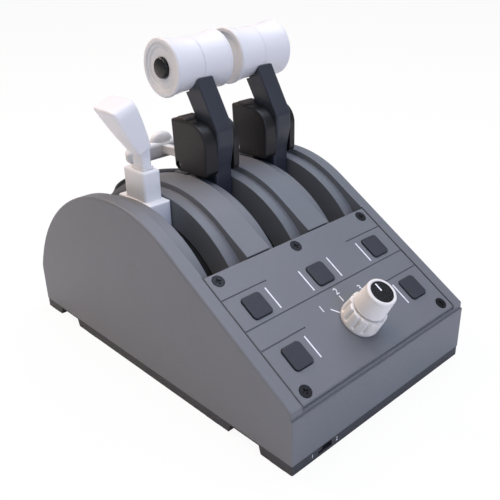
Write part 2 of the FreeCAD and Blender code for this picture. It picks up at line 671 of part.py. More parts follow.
def rubber_feet():
    tall = v.foot_tall + v.foot_sink
    feet = body_named("rubber_feet")
    curves = []
    for x, y in foot_places():
        a, b = v.foot_wide / 2, v.foot_long / 2
        curves += rectangle(x - a, y - b, x + a, y + b, 1.0)
    feet.AllowCompound = True
    pad(feet, "XY_Plane", curves, "dims.foot_tall + dims.foot_sink", "(dims.foot_tall + dims.foot_sink) / 2")


def screw_group(label, places, placement, head_radius, head_tall, head_at, shank_long, down=-1):
    """Screws side by side: heads with a cross recess at head_at, and shanks beyond them."""
    pieces = []
    for n, (x, y) in enumerate(places):
        low = head_at - getattr(v, head_tall) if down < 0 else head_at
        head = cylinder(f"{label}_head{n}", f"dims.{head_radius}", f"dims.{head_tall}", (x, y, low))
        start = low - getattr(v, shank_long) if down < 0 else head_at + getattr(v, head_tall)
        shank = cylinder(f"{label}_shank{n}", "dims.screw_shank", f"dims.{shank_long}", (x, y, start))
        screw = doc.addObject("Part::MultiFuse", f"{label}_blank{n}")
        screw.Shapes = [head, shank]
        bars = []
        for turn in (0, 1):
            long, wide = ("dims.cross_long", "dims.cross_wide")[::1 if turn else -1]
            sizes = (long, wide, "2 * dims.cross_deep")
            a, b = (v.cross_long, v.cross_wide)[::1 if turn else -1]
            bars.append(cuboid(f"{label}_bar{n}_{turn}", sizes, (x - a / 2, y - b / 2, head_at - v.cross_deep)))
        cross = doc.addObject("Part::MultiFuse", f"{label}_cross{n}")
        cross.Shapes = bars
        pieces.append(minus(f"{label}_screw{n}", screw, cross))
    group = doc.addObject("Part::Compound", label)
    group.Links = pieces
    return keep(group, label, placement)


def panel_plate():
    """The sloping plate with its button holes, engraved lines, counterbores and posts."""
    plate = body_named("panel_plate", PANEL)
    pad(plate, "XY_Plane", rectangle(-v.plate_half, 0, v.plate_half, v.panel_length - v.plate_gap / 2),
        "dims.plate_thick", "-dims.plate_thick / 2")
    round_edges(plate, "dims.plate_edge", lambda e: on_plane(e, "z", 0.0))
    for x, up in button_places():
        a, b = v.button_wide / 2 + v.button_gap, v.button_long / 2 + v.button_gap
        pocket(plate, "XY_Plane", rectangle(x - a, up - b, x + a, up + b, v.button_corner + v.button_gap),
               "4 * dims.plate_thick")
    for x, up in panel_screw_places():
        pocket(plate, "XY_Plane", circle(x, up, v.screw_head + v.screw_ring), "2 * dims.screw_sink")
        pocket(plate, "XY_Plane", circle(x, up, v.screw_shank + v.screw_hole_gap), "4 * dims.plate_thick")
    pocket(plate, "XY_Plane", circle(0, v.dial_y, v.spigot_radius + v.bore_gap), "4 * dims.plate_thick")
    edge, half = v.plate_half, v.line_wide / 2
    reach = v.line_reach
    for up, spans in ((v.line_top, ((-edge - 1, -reach), (reach, edge + 1))),
                      (v.line_mid, ((-edge - 1, edge + 1),)),
                      (v.line_low, ((-edge - 1, -reach), (reach, edge + 1)))):
        for left, right in spans:
            pocket(plate, "XY_Plane", rectangle(left, up - half, right, up + half), "2 * dims.line_deep")
    for x in (-v.post_x, v.post_x):
        for up in (v.post_low, v.post_high):
            pad(plate, "XY_Plane", circle(x, up, v.post_radius), "dims.board_drop - dims.plate_thick + 0.5",
                "-(dims.board_drop + dims.plate_thick - 0.5) / 2")


def button_places():
    pitch = v.button_pitch
    upper = [(-pitch, v.button_row_top), (0.0, v.button_row_top), (pitch, v.button_row_top)]
    return upper + [(-pitch, v.button_row_low), (pitch, v.button_row_low)]


def panel_button(number, x, up):
    """A square button with a flange that holds it under the plate."""
    button = body_named(f"panel_button_{number}", PANEL)
    a, b = v.button_wide / 2, v.button_long / 2
    pad(button, "XY_Plane", rectangle(x - a, up - b, x + a, up + b, v.button_corner),
        "dims.button_rise + dims.plate_thick + dims.flange_drop + dims.flange_thick",
        "(dims.button_rise - dims.plate_thick - dims.flange_drop - dims.flange_thick) / 2")
    round_edges(button, "dims.button_edge", lambda e: on_plane(e, "z", v.button_rise))
    a, b = a + v.button_flange, b + v.button_flange
    pad(button, "XY_Plane", rectangle(x - a, up - b, x + a, up + b, 1.0), "dims.flange_thick",
        "-(dims.plate_thick + dims.flange_drop + dims.flange_thick / 2)")


def panel_electronics():
    """The board under the panel, its tact switches and the selector's encoder."""
    board = body_named("panel_board", PANEL)
    pad(board, "XY_Plane", rectangle(-v.board_half, v.board_low, v.board_half, v.board_high, 1.0),
        "dims.board_thick", "-dims.board_drop - dims.board_thick / 2")
    for x, up in button_places():
        side = v.tact_side / 2
        pad(board, "XY_Plane", rectangle(x - side, up - side, x + side, up + side), "dims.tact_tall + 0.5",
            "-dims.board_drop + (dims.tact_tall - 0.5) / 2")
    encoder = body_named("selector_encoder", PANEL)
    half = v.encoder_side / 2
    top = v.plate_thick + v.dial_gap
    pad(encoder, "XY_Plane", rectangle(-half, v.dial_y - half, half, v.dial_y + half, 1.0),
        "dims.board_drop - dims.plate_thick - dims.dial_gap",
        "-(dims.board_drop + dims.plate_thick + dims.dial_gap) / 2")
    pocket(encoder, "XY_Plane", circle(0, v.dial_y, v.dial_shaft + v.running_gap), "20", f"-{top}")


def selector():
    """The fluted ring, the shaft, and the knob with its disc that turns on it and is pushed."""
    frame = PANEL.multiply(FreeCAD.Placement(V(0, v.dial_y, 0), FreeCAD.Rotation()))
    ring = body_named("selector_ring", frame)
    low, gap = v.dial_gap, v.plate_thick
    turned(ring, "Revolution", "XZ_Plane", outline(
        (v.dial_hole, -gap), (v.spigot_radius, -gap), (v.spigot_radius, low), (v.ring_radius, low),
        (v.ring_radius, v.flange_tall), (v.ring_top_radius + 0.3, v.ring_tall - 0.6),
        (v.ring_top_radius - 0.3, v.ring_tall), (v.ring_well, v.ring_tall),
        (v.ring_well, v.ring_tall - v.ring_well_deep), (v.dial_hole, v.ring_tall - v.ring_well_deep)), "Z_Axis")
    count = int(v.flute_count)
    flutes = []
    for n in range(count):
        turn = 2 * math.pi * (n + 0.5) / count
        reach = v.ring_radius + v.flute_radius - v.flute_deep
        flutes += circle(reach * math.cos(turn), reach * math.sin(turn), v.flute_radius)
    pocket(ring, "XY_Plane", flutes, "2 * (dims.ring_tall - dims.flange_tall)", "dims.ring_tall")
    shaft = body_named("selector_shaft", frame)
    foot = v.board_drop - 1.5
    top = v.knob_crown - v.crown_tall
    turned(shaft, "Revolution", "XZ_Plane", outline((0, -foot), (v.dial_shaft, -foot), (v.dial_shaft, top),
                                                    (0, top)), "Z_Axis")
    knob = body_named("selector_knob", frame)
    bore = v.dial_shaft + v.running_gap
    rim = v.knob_crown - v.crown_tall
    turned(knob, "Revolution", "XZ_Plane", outline(
        (bore, v.knob_foot), (v.knob_foot_radius, v.knob_foot), (v.knob_radius, rim), (v.crown_radius, rim + 0.4),
        (v.crown_radius, v.knob_crown - 0.8), (v.crown_radius - 0.8, v.knob_crown), (v.disc_radius, v.knob_crown),
        (v.disc_radius, v.knob_crown - v.disc_thick), (0, v.knob_crown - v.disc_thick), (0, top + 0.2),
        (bore, top + 0.2)), "Z_Axis")
    disc = cylinder("selector_cap", "dims.disc_radius - 0.05", "dims.disc_thick",
                    (0, 0, v.knob_crown - v.disc_thick))
    keep(disc, "selector_cap", frame.multiply(disc.Placement))


def mode_switch():
    """The slide switch in the base's front: a body in its bay and a slider in the slot."""
    inner = front_y + v.tray_wall
    mid = (v.mode_low + v.mode_high) / 2
    body = body_named("mode_switch_body")
    a, tall = v.mode_body / 2, v.mode_high - v.mode_low + 1.4
    pad(body, "XZ_Plane", rectangle(v.mode_x - a, mid - tall / 2, v.mode_x + a, mid + tall / 2, 0.4),
        "dims.mode_body_deep", "dims.body_depth / 2 - dims.tray_wall - dims.mode_body_deep / 2")
    slider = body_named("mode_slider")
    left = v.mode_x - v.mode_travel / 2
    b = (v.mode_high - v.mode_low) / 2 - v.mode_gap
    pad(slider, "XZ_Plane", rectangle(left - v.mode_nub / 2, mid - b, left + v.mode_nub / 2, mid + b, 0.3),
        "dims.tray_wall - 0.8", "dims.body_depth / 2 - (dims.tray_wall + 0.4) / 2")
    return inner


# ---------------------------------------------------------------- shaft and electronics inside


def stand_screw_places():
    """Two screws in each stand's flange, on the side away from the lever's hub."""
    places = []
    reach = v.stand_foot / 2 - 4
    offset = v.stand_thick / 2 + v.stand_flange_wide / 2
    for x in (-v.stand_mid, v.stand_mid):
        places += [(x + offset, v.pivot_y - reach), (x + offset, v.pivot_y + reach)]
    for x, side in ((-v.stand_out, 1), (v.stand_out, -1)):
        places += [(x + side * offset, v.pivot_y - reach), (x + side * offset, v.pivot_y + reach)]
    return places


def stand_outline():
    y, z, foot, lean = v.pivot_y, v.pivot_z, v.stand_foot / 2, v.stand_head * 0.97
    return outline((y - foot, v.base_top), (y - foot, v.base_top + v.stand_flange), (y - lean, z + 2),
                   ((y, z + v.stand_head), (y + lean, z + 2)), (y + foot, v.base_top + v.stand_flange),
                   (y + foot, v.base_top))


def shaft_stands():
    """Four plates that hold the shaft, each with a flange on the base to one side."""
    stands = body_named("shaft_stands")
    stands.AllowCompound = True
    foot = v.stand_foot / 2
    for x, side in ((-v.stand_out, 1), (-v.stand_mid, 1), (v.stand_mid, 1), (v.stand_out, -1)):
        pad(stands, "YZ_Plane", stand_outline(), "dims.stand_thick", f"{x}")
        near = x + side * (v.stand_thick / 2 - 0.5)
        far = x + side * (v.stand_thick / 2 + v.stand_flange_wide)
        pad(stands, "XY_Plane", rectangle(min(near, far), v.pivot_y - foot, max(near, far), v.pivot_y + foot),
            "dims.stand_flange", "dims.base_top + dims.stand_flange / 2")
    pocket(stands, "YZ_Plane", circle(v.pivot_y, v.pivot_z, v.shaft_radius + v.running_gap),
           "2 * dims.body_width")
    for x, y in stand_screw_places():
        pocket(stands, "XY_Plane", circle(x, y, v.screw_shank + v.screw_hole_gap), "4 * dims.stand_flange",
               "dims.base_top + dims.stand_flange")


def sleeves(label, spans, radius):
    """Tubes on the shaft, each from one x to another."""
    pieces = []
    for n, (start, end) in enumerate(spans):
        centre = (start, v.pivot_y, v.pivot_z)
        outer = cylinder(f"{label}_out{n}", f"dims.{radius}", f"{end - start}", centre, (1, 0, 0))
        inner = cylinder(f"{label}_in{n}", "dims.shaft_radius + dims.running_gap", f"{end - start}", centre,
                         (1, 0, 0))
        pieces.append(minus(f"{label}_{n}", outer, inner))
    group = doc.addObject("Part::Compound", label)
    group.Links = pieces
    keep(group, label)


def shaft_group():
    shaft = cylinder("pivot_shaft", "dims.shaft_radius", "2 * dims.shaft_half",
                     (-v.shaft_half, v.pivot_y, v.pivot_z), (1, 0, 0))
    keep(shaft, "pivot_shaft")
    shaft_stands()
    gap, half = v.face_gap, v.hub_half
    thick = v.stand_thick / 2
    outer = v.lever_pitch + half
    spans = [(-v.stand_out + thick + gap, -outer - gap), (outer + gap, v.stand_out - thick - gap)]
    for x in (-v.stand_mid, v.stand_mid):
        spans.append((x - v.stand_mid + half + gap, x - thick - gap))
        spans.append((x + thick + gap, x + v.stand_mid - half - gap))
    sleeves("shaft_spacers", spans, "spacer_radius")
    screw_group("stand_screws", stand_screw_places(), None, "base_screw_head", "screw_sink",
                v.base_top + v.stand_flange + v.screw_sink, "stand_flange")


def main_post_places():
    half = v.main_board_wide / 2 - 4
    return [(v.main_board_x + side * half, y) for side in (-1, 1)
            for y in (v.main_board_front + 4, v.main_board_rear - 6)]


def main_electronics():
    board = body_named("main_board")
    half = v.main_board_wide / 2
    pad(board, "XY_Plane", rectangle(v.main_board_x - half, v.main_board_front, v.main_board_x + half,
                                     v.main_board_rear, 1.0), "dims.board_thick",
        "dims.main_board_z + dims.board_thick / 2")
    socket = body_named("cable_socket")
    low = v.main_board_z + v.board_thick
    mid = low + v.port_tall / 2
    a, b = v.port_wide / 2, v.port_tall / 2
    front = rear_y - v.wall - v.port_long + 2.0
    middle = f"-({front + v.port_long / 2})"
    pad(socket, "XZ_Plane", rectangle(v.port_x - a, mid - b, v.port_x + a, mid + b, b * 0.95), "dims.port_long",
        middle)
    a, b = a - v.port_wall, b - v.port_wall
    pocket(socket, "XZ_Plane", rectangle(v.port_x - a, mid - b, v.port_x + a, mid + b, b * 0.95),
           "dims.port_long", f"-({front + v.port_long / 2 + 1.0})")


# ---------------------------------------------------------------- levers


def lever_hub(label, x, shift):
    """A hub on the shaft with a fan web and the dust shield that it carries under the slot."""
    hub = body_named(label)
    pad(hub, "YZ_Plane", circle(v.pivot_y, v.pivot_z, v.hub_radius), "2 * dims.hub_half", shift)
    web = f"{shift} + dims.arm_wide / 2 + dims.web_gap + dims.web_thick / 2"
    inner = v.shield_radius - v.shield_thick
    span = v.shield_span
    pad(hub, "YZ_Plane", sector(v.hub_radius - 2, inner + 0.4, -span, span), "dims.web_thick", web)
    for side in (-1, 1):
        pad(hub, "YZ_Plane", sector(inner, v.shield_radius, *sorted((side * v.shield_window, side * span))),
            "2 * dims.shield_half", shift)
        hole = polar((inner + v.hub_radius) / 2 + 2, side * span * 0.62)
        pocket(hub, "YZ_Plane", circle(*hole, (inner - v.hub_radius) / 4), "3 * dims.web_thick", web)
    pocket(hub, "YZ_Plane", circle(v.pivot_y, v.pivot_z, v.shaft_radius + v.running_gap),
           "4 * dims.hub_half", shift)
    return x


def lever_root(body, shift, front, rear, top):
    """The straight part of a lever between its hub and the housing's slot."""
    low = math.sqrt((v.hub_radius + 0.3) ** 2 - (front - v.pivot_y) ** 2)
    y, z = v.pivot_y, v.pivot_z
    pad(body, "YZ_Plane", outline((front, top), (front, z + low), ((y, z + v.hub_radius + 0.3), (rear, z + low)),
                                  (rear, top)), "dims.arm_wide", shift)


def beside(distance, sideways):
    """A point that far down the leaning arm from the knob's axis, and sideways to its front."""
    a = math.radians(v.neck_lean)
    return (v.knob_y - distance * math.sin(a) - sideways * math.cos(a),
            v.knob_z - distance * math.cos(a) + sideways * math.sin(a))


def throttle_arm(number, x, shift):
    """The dark arm: upright through the slot, leaning back above, with a tongue inside the knob."""
    arm = body_named(f"throttle_{number}_arm")
    front, rear, knee = v.arm_front, v.arm_rear, v.arm_knee
    y, z = v.pivot_y, v.pivot_z
    down = (v.knob_z - v.pod_top) / math.cos(math.radians(v.neck_lean)) - 3
    behind_y, behind_z = beside(down, -v.neck_rear)
    upper = [(*beside(10, v.neck_front), 0), (*beside(10, -v.neck_rear), 0)]
    pad(arm, "YZ_Plane", rounded([
        (front, z, 0), (front, knee - 25, 25), (front - v.arm_belly, knee - 10, 15),
        (front - v.arm_belly + 0.2, knee, 5.5)] + upper + [
        (behind_y, behind_z, 1.0), (rear, behind_z - 8.5, 2), (rear, z, 0)]), "dims.arm_wide", shift)
    half = v.arm_wide / 2
    round_edges(arm, "dims.arm_edge", lambda e: (on_plane(e, "x", x + half) or on_plane(e, "x", x - half))
                and e.CenterOfMass.y < front + 14 and e.CenterOfMass.z < v.knob_z - 6
                and e.BoundBox.ZMax > z + 1 and e.BoundBox.ZLength > 1
                and e.BoundBox.YMin < e.BoundBox.ZMin * 0.2 + 1)
    pocket(arm, "YZ_Plane", circle(y, z, v.hub_radius), "2 * dims.arm_wide", shift)
    pocket(arm, "YZ_Plane", circle(v.knob_y, v.knob_z, v.knob_waist + 0.7), "2 * dims.arm_wide", shift)
    # the tongue and its eye
    wide, mid = v.tongue_radius * 0.75, (v.neck_front - v.neck_rear) / 2
    pad(arm, "YZ_Plane", outline(beside(v.knob_waist + 3, wide + mid), beside(0, wide), beside(0, -wide),
                                 beside(v.knob_waist + 3, mid - wide)), "dims.tongue_thick", shift)
    pad(arm, "YZ_Plane", circle(v.knob_y, v.knob_z, v.tongue_radius), "dims.tongue_thick", shift)
    pocket(arm, "YZ_Plane", circle(v.knob_y, v.knob_z, v.knob_screw + 0.1), "2 * dims.tongue_thick", shift)


def knob_half(label, x, side, button_side):
    """Half of a waisted knob, hollowed for the tongue, dished at its end."""
    frame = FreeCAD.Placement(V(x, v.knob_y, v.knob_z), FreeCAD.Rotation())
    half = body_named(label, frame)
    length, rim = v.knob_half, v.knob_rim
    end, waist = v.knob_end, v.knob_waist
    dish = length - v.knob_dish
    curves = [(0.04, 0.0), (0.04, waist), ((length * 0.5, waist + 0.35), (length - rim, end - 0.25)),
              (length - rim * 0.75, end), (length - 0.7, end), (length, end - 0.7), (length, v.cap_radius)]
    if side == button_side:
        bore, stop = v.thumb_radius + v.bore_gap, 10.0
        inner = dish - v.cap_step
        curves += [(dish, v.cap_radius - 0.2), (dish, v.cap_ring), (inner, v.cap_ring - 0.3), (inner, bore)]
    else:
        bore, stop = v.knob_screw_head + 0.3, 8.0
        curves += [(dish - v.cap_thick, v.cap_radius), (dish - v.cap_thick, bore)]
    curves += [(stop, bore), (stop, 0.0)]
    turn = lambda p: (side * p[0], p[1])
    steps = [(turn(p[0]), turn(p[1])) if isinstance(p[0], tuple) else turn(p) for p in curves]
    turned(half, "Revolution", "XY_Plane", outline(*steps), "X_Axis")
    # room for the tongue and its eye
    tongue = v.tongue_thick / 2 + v.bore_gap
    pocket(half, "YZ_Plane", circle(0, 0, v.tongue_radius + v.bore_gap), f"{2 * tongue}")
    wide, mid = v.tongue_radius * 0.75 + 2 * v.bore_gap, (v.neck_front - v.neck_rear) / 2
    far = v.knob_waist + 3
    corners = [beside(0, wide), beside(far, wide + mid), beside(far, mid - wide), beside(0, -wide)]
    pocket(half, "YZ_Plane", outline(*[(a - v.knob_y, b - v.knob_z) for a, b in corners]), f"{2 * tongue}")
    pocket(half, "YZ_Plane", circle(0, 0, v.knob_screw + (0.0 if side == button_side else 0.1)),
           f"{2 * stop + 1}")


def screw_cover(label, x, side):
    """The disc that covers the screw in the plain end of a knob, with a step near its edge."""
    frame = FreeCAD.Placement(V(x, v.knob_y, v.knob_z), FreeCAD.Rotation())
    cover = body_named(label, frame)
    outer = v.knob_half - v.knob_dish
    low = outer - v.cap_thick
    radius = v.cap_radius - 0.02
    turned(cover, "Revolution", "XY_Plane", outline(
        (side * low, 0), (side * low, radius), (side * outer, radius), (side * outer, v.cap_ring),
        (side * (outer - v.cap_step), v.cap_ring - 0.3), (side * (outer - v.cap_step), 0)), "X_Axis")


def thumb_button(label, x, side):
    """The domed disconnect button in a knob's outer end."""
    frame = FreeCAD.Placement(V(x, v.knob_y, v.knob_z), FreeCAD.Rotation())
    button = body_named(label, frame)
    face = v.knob_half - v.knob_dish - v.cap_step
    top = face + v.thumb_rise
    low = face - v.thumb_stem
    radius = v.thumb_radius
    edge, crest = 1.2, 0.4
    turned(button, "Revolution", "XY_Plane", outline(
        (side * low, 0), (side * low, radius), (side * (top - edge), radius),
        ((side * (top - edge * 0.3), radius - edge * 0.3), (side * top, radius - edge)),
        ((side * (top + crest * 0.75), radius * 0.42), (side * (top + crest), 0.5)), (side * (top + crest), 0)),
        "X_Axis")


def knob_screw(label, x, side):
    """The screw through both halves and the tongue, under the cap at the plain end."""
    centre = (x, v.knob_y, v.knob_z)
    plain = -side
    head_at = plain * 8.0
    head = cylinder(label + "_head", "dims.knob_screw_head", "2.2", centre, (plain, 0, 0))
    head.Placement.Base = V(x + head_at, v.knob_y, v.knob_z)
    shank = cylinder(label + "_shank", "dims.knob_screw - 0.02", "17.0", centre, (side, 0, 0))
    shank.Placement.Base = V(x + head_at, v.knob_y, v.knob_z)
    return fused(label, [head, shank])


def pod_outline():
    """The pod's outline: rounded upper front corner, slanted heel, all corners softened."""
    front, rear, top = v.pod_front, v.pod_rear, v.pod_top
    heel = v.pod_low_rear + v.pod_heel_tall
    return rounded([(front, v.pod_low_front, v.pod_corner), (front, top, v.pod_bend), (rear, top, 1.5),
                    (rear - v.pod_draft, heel, 1.5), (rear - v.pod_heel, v.pod_low_rear, 1.5)])


def pods(number, x, shift):
    """The covers either side of the arm; the left one reaches in behind it and takes the button."""
    arm, seat = v.arm_wide / 2, v.pod_seat
    left = body_named(f"throttle_{number}_pod_left")
    pad(left, "YZ_Plane", pod_outline(), "dims.pod_left",
        f"{shift} - dims.arm_wide / 2 - dims.pod_seat - dims.pod_left / 2")
    outer = x - arm - seat - v.pod_left
    round_edges(left, "dims.pod_edge", lambda e: on_plane(e, "x", outer))
    pad(left, "YZ_Plane", outline((v.bridge_start, v.bridge_foot), (v.bridge_start, v.pod_top - 0.1),
                                  (v.pod_rear - 1.2, v.pod_top - 0.1), (v.pod_rear - 1.2, v.bridge_foot)),
        "dims.pod_bridge + 1.0", f"{shift} - dims.arm_wide / 2 - dims.pod_seat + (dims.pod_bridge - 1.0) / 2")
    gap = v.bore_gap
    tab0, tab1 = x + v.tab_left - gap, x + v.tab_left + v.tab_wide + gap
    pocket(left, "XY_Plane", rectangle(tab0, v.tab_front - gap, tab1, v.tab_front + v.tab_long + gap, 1.0),
           "2 * (dims.tab_stem + 1.2)", "dims.pod_top")
    hole = circle(v.reverse_y, v.reverse_z, v.reverse_pin)
    pocket(left, "YZ_Plane", hole, "40", shift)
    pocket(left, "YZ_Plane", circle(v.reverse_y, v.reverse_z, v.pin_recess), "2 * dims.recess_deep",
           f"{shift} - dims.arm_wide / 2 - dims.pod_seat - dims.pod_left")
    right = body_named(f"throttle_{number}_pod_right")
    pad(right, "YZ_Plane", pod_outline(), "dims.pod_right",
        f"{shift} + dims.arm_wide / 2 + dims.pod_seat + dims.pod_right / 2")
    outer = x + arm + seat + v.pod_right
    round_edges(right, "dims.pod_edge", lambda e: on_plane(e, "x", outer))
    pocket(right, "YZ_Plane", hole, "dims.arm_wide + 2 * dims.pod_seat + 2 * dims.pod_right - 1.8", shift)


def go_around_button(number, x):
    tab = body_named(f"throttle_{number}_go_around_button")
    left = x + v.tab_left
    pad(tab, "XY_Plane", rectangle(left, v.tab_front, left + v.tab_wide, v.tab_front + v.tab_long, 0.8),
        "dims.tab_rise + dims.tab_stem", "dims.pod_top + (dims.tab_rise - dims.tab_stem) / 2")
    top = v.pod_top + v.tab_rise
    round_edges(tab, "0.4", lambda e: on_plane(e, "z", top))


def reverse_lever(number, x, shift):
    """The lever behind the pods: an eye on the pin, an arm, and the handle bar with its thumb dome."""
    middle = f"{shift} + dims.reverse_side"
    y, z = v.reverse_y, v.reverse_z
    arm = body_named(f"throttle_{number}_reverse_arm")
    pad(arm, "YZ_Plane", circle(y, z, v.reverse_eye), "dims.reverse_thick", middle)
    half = v.reverse_deep / 2
    end = v.handle_y
    pad(arm, "YZ_Plane", outline((y, z - half), (y, z + half), (end, v.handle_z + half * 0.8),
                                 (end, v.handle_z - half * 0.8)), "dims.reverse_thick", middle)
    pocket(arm, "YZ_Plane", circle(y, z, v.reverse_pin + v.running_gap), "2 * dims.reverse_thick", middle)
    handle = body_named(f"throttle_{number}_reverse_handle")
    deep, tall = v.handle_deep / 2, v.handle_tall / 2
    low, high = v.handle_z - tall, v.handle_z + tall
    left, right = x + v.handle_left, x + v.handle_right
    pad(handle, "XZ_Plane", outline(
        (left + 2.2, low), (left, low + 3.0), (left, high - 1.5), (left + 1.5, high),
        (x + v.dome_middle - v.dome_half, high),
        ((x + v.dome_middle, high + v.dome_rise), (x + v.dome_middle + v.dome_half, high)),
        (right - 1.5, high), (right, high - 1.5), (right, low + 3.0), (right - 2.2, low)),
        "dims.handle_deep", "-dims.handle_y")
    round_edges(handle, "dims.handle_edge", lambda e: (on_plane(e, "y", v.handle_y - deep)
                or on_plane(e, "y", v.handle_y + deep)) and e.CenterOfMass.z < high - 0.1)
    # a slot that takes the arm's end
    room = v.reverse_thick / 2 + 0.02
    pocket(handle, "XY_Plane", rectangle(x + v.reverse_side - room, v.handle_y - deep - 1,
                                         x + v.reverse_side + room, v.handle_y + 0.02),
           "dims.reverse_deep", "dims.handle_z")
    pin = cylinder(f"throttle_{number}_reverse_pin", "dims.reverse_pin - 0.01",
                   "dims.arm_wide + 2 * dims.pod_seat + dims.pod_left + dims.pod_right - dims.recess_deep - 1.0",
                   (x - v.arm_wide / 2 - v.pod_seat - v.pod_left + v.recess_deep, y, z), (1, 0, 0))
    keep(pin, f"throttle_{number}_reverse_pin")


def throttle(number, x, shift, button_side):
    lever_hub(f"throttle_{number}_hub", x, shift)
    throttle_arm(number, x, shift)
    knob_half(f"throttle_{number}_knob_left", x, -1, button_side)
    knob_half(f"throttle_{number}_knob_right", x, 1, button_side)
    screw_cover(f"throttle_{number}_screw_cover", x, -button_side)
    thumb_button(f"throttle_{number}_disconnect_button", x, button_side)
    knob_screw(f"throttle_{number}_knob_screw", x, button_side)
    pods(number, x, shift)
    go_around_button(number, x)
    reverse_lever(number, x, shift)


def speed_brake():
    """The white lever: a foot block in the slot, a box, a neck and a canted wedge head."""
    shift, x = "-dims.lever_pitch", -v.lever_pitch
    lever_hub("speed_brake_hub", x, shift)
    carrier = body_named("speed_brake_carrier")
    lever_root(carrier, shift, v.arm_front, v.arm_rear, v.pivot_z + crown - 8)
    block_low = v.pivot_z + crown - 18
    pad(carrier, "YZ_Plane", outline(
        (v.block_front, block_low), (v.block_front, v.block_front_top), (v.box_front, v.box_foot),
        (v.box_rear, v.box_foot), (v.block_rear, v.block_rear_top), (v.block_rear, block_low)),
        "dims.brake_block", shift)
    round_edges(carrier, "1.2", lambda e: e.BoundBox.XLength > v.brake_block - 0.1
                and e.CenterOfMass.z > v.block_front_top - 0.5)
    pad(carrier, "YZ_Plane", rectangle(v.box_front, v.box_foot - 4, v.box_rear, v.box_top), "dims.box_wide",
        shift)
    round_edges(carrier, "dims.box_edge", lambda e: e.BoundBox.ZMin > v.box_foot + 0.2)
    neck = body_named("speed_brake_neck")
    a, b = v.collar_wide / 2, v.collar_deep / 2
    pad(neck, "XY_Plane", rectangle(x - a, v.neck_y - b, x + a, v.neck_y + b, 1.2), "dims.collar_tall",
        "dims.box_top + dims.collar_tall / 2")
    a, b = v.neck_wide / 2, v.neck_long / 2
    pad(neck, "XY_Plane", rectangle(x - a, v.neck_y - b, x + a, v.neck_y + b, 1.0),
        "dims.neck_top - dims.box_top", "(dims.neck_top + dims.box_top) / 2")
    brake_head(x)


def brake_head(x):
    """A wedge that widens upwards and backwards, leaning to the left on the neck."""
    cant = FreeCAD.Placement(V(x, 0, v.head_seat), FreeCAD.Rotation(V(0, 1, 0), -v.head_cant))
    head = body_named("speed_brake_head", cant)
    wide = v.head_top_wide
    pad(head, "YZ_Plane", rounded([
        (v.head_front - 0.4, v.head_foot, 1.4), (v.head_front + 1.2, v.head_top, v.head_bend),
        (v.head_rear, v.head_top - 0.6, 0.6), (v.head_foot_rear, v.head_foot + 1.0, 1.0)]), f"{wide + 6}")
    # the sides bow in towards the foot
    a, b, c = v.head_foot_wide / 2, v.head_mid_wide / 2, v.head_top_wide / 2
    low, high = v.head_foot, v.head_top
    bow = low + (high - low) * 0.6
    for side in (-1, 1):
        pocket(head, "XZ_Plane", outline(
            (side * a * 0.75, low - 2), (side * a, low + 1),
            ((side * (a * 0.45 + b * 0.55 + 0.25), low + (bow - low) * 0.5), (side * b, bow)),
            (side * c, high + 2), (side * 30, high + 2), (side * 30, low - 2)), "200")
    # the socket that the neck goes into, square to the ground
    gap = 0.02
    socket = head.newObject("PartDesign::SubtractiveBox", "neck_socket")
    socket.Length = v.neck_wide + 2 * gap
    socket.Width = v.neck_long + 2 * gap
    socket.Height = v.neck_top - v.head_seat + 4 + gap
    place = FreeCAD.Placement(V(x - v.neck_wide / 2 - gap, v.neck_y - v.neck_long / 2 - gap, v.head_seat - 4),
                              FreeCAD.Rotation())
    socket.Placement = cant.inverse().multiply(place)
    doc.recompute()


# ---------------------------------------------------------------- the cable


def cable_tube(label, route):
    """A tube along straight runs joined by tangent arcs as large as the runs allow."""
    points = [V(*p) for p in route]
    edges, here = [], points[0]
    for before, corner, after in zip(points, points[1:], points[2:]):
        run_in, run_out = corner - before, after - corner
        turn = run_in.getAngle(run_out)
        radius = 0.45 * min(run_in.Length, run_out.Length) / math.tan(turn / 2)
        print(f"{label}: radius {radius:.0f}, turn {math.degrees(turn):.0f}")
        reach = radius * math.tan(turn / 2)
        start = corner - run_in.normalize() * reach
        end = corner + run_out.normalize() * reach
        bisector = ((start + end) * 0.5 - corner).normalize()
        middle = corner + bisector * (radius / math.cos(turn / 2) - radius)
        edges += [Part.LineSegment(here, start).toShape(), Part.Arc(start, middle, end).toShape()]
        here = end
    edges.append(Part.LineSegment(here, points[-1]).toShape())
    path = Part.Wire(edges)
    section = Part.Wire([Part.Circle(points[0], points[1] - points[0], v.cable_radius).toShape()])
    tube = path.makePipeShell([section], True, False)
    whole = math.pi * v.cable_radius ** 2 * path.Length
    print(f"{label}: length {path.Length:.0f}, volume {tube.Volume / whole:.4f} of section times length")
    feature = doc.addObject("Part::Feature", label)
    feature.Shape = tube
    return keep(feature, label)


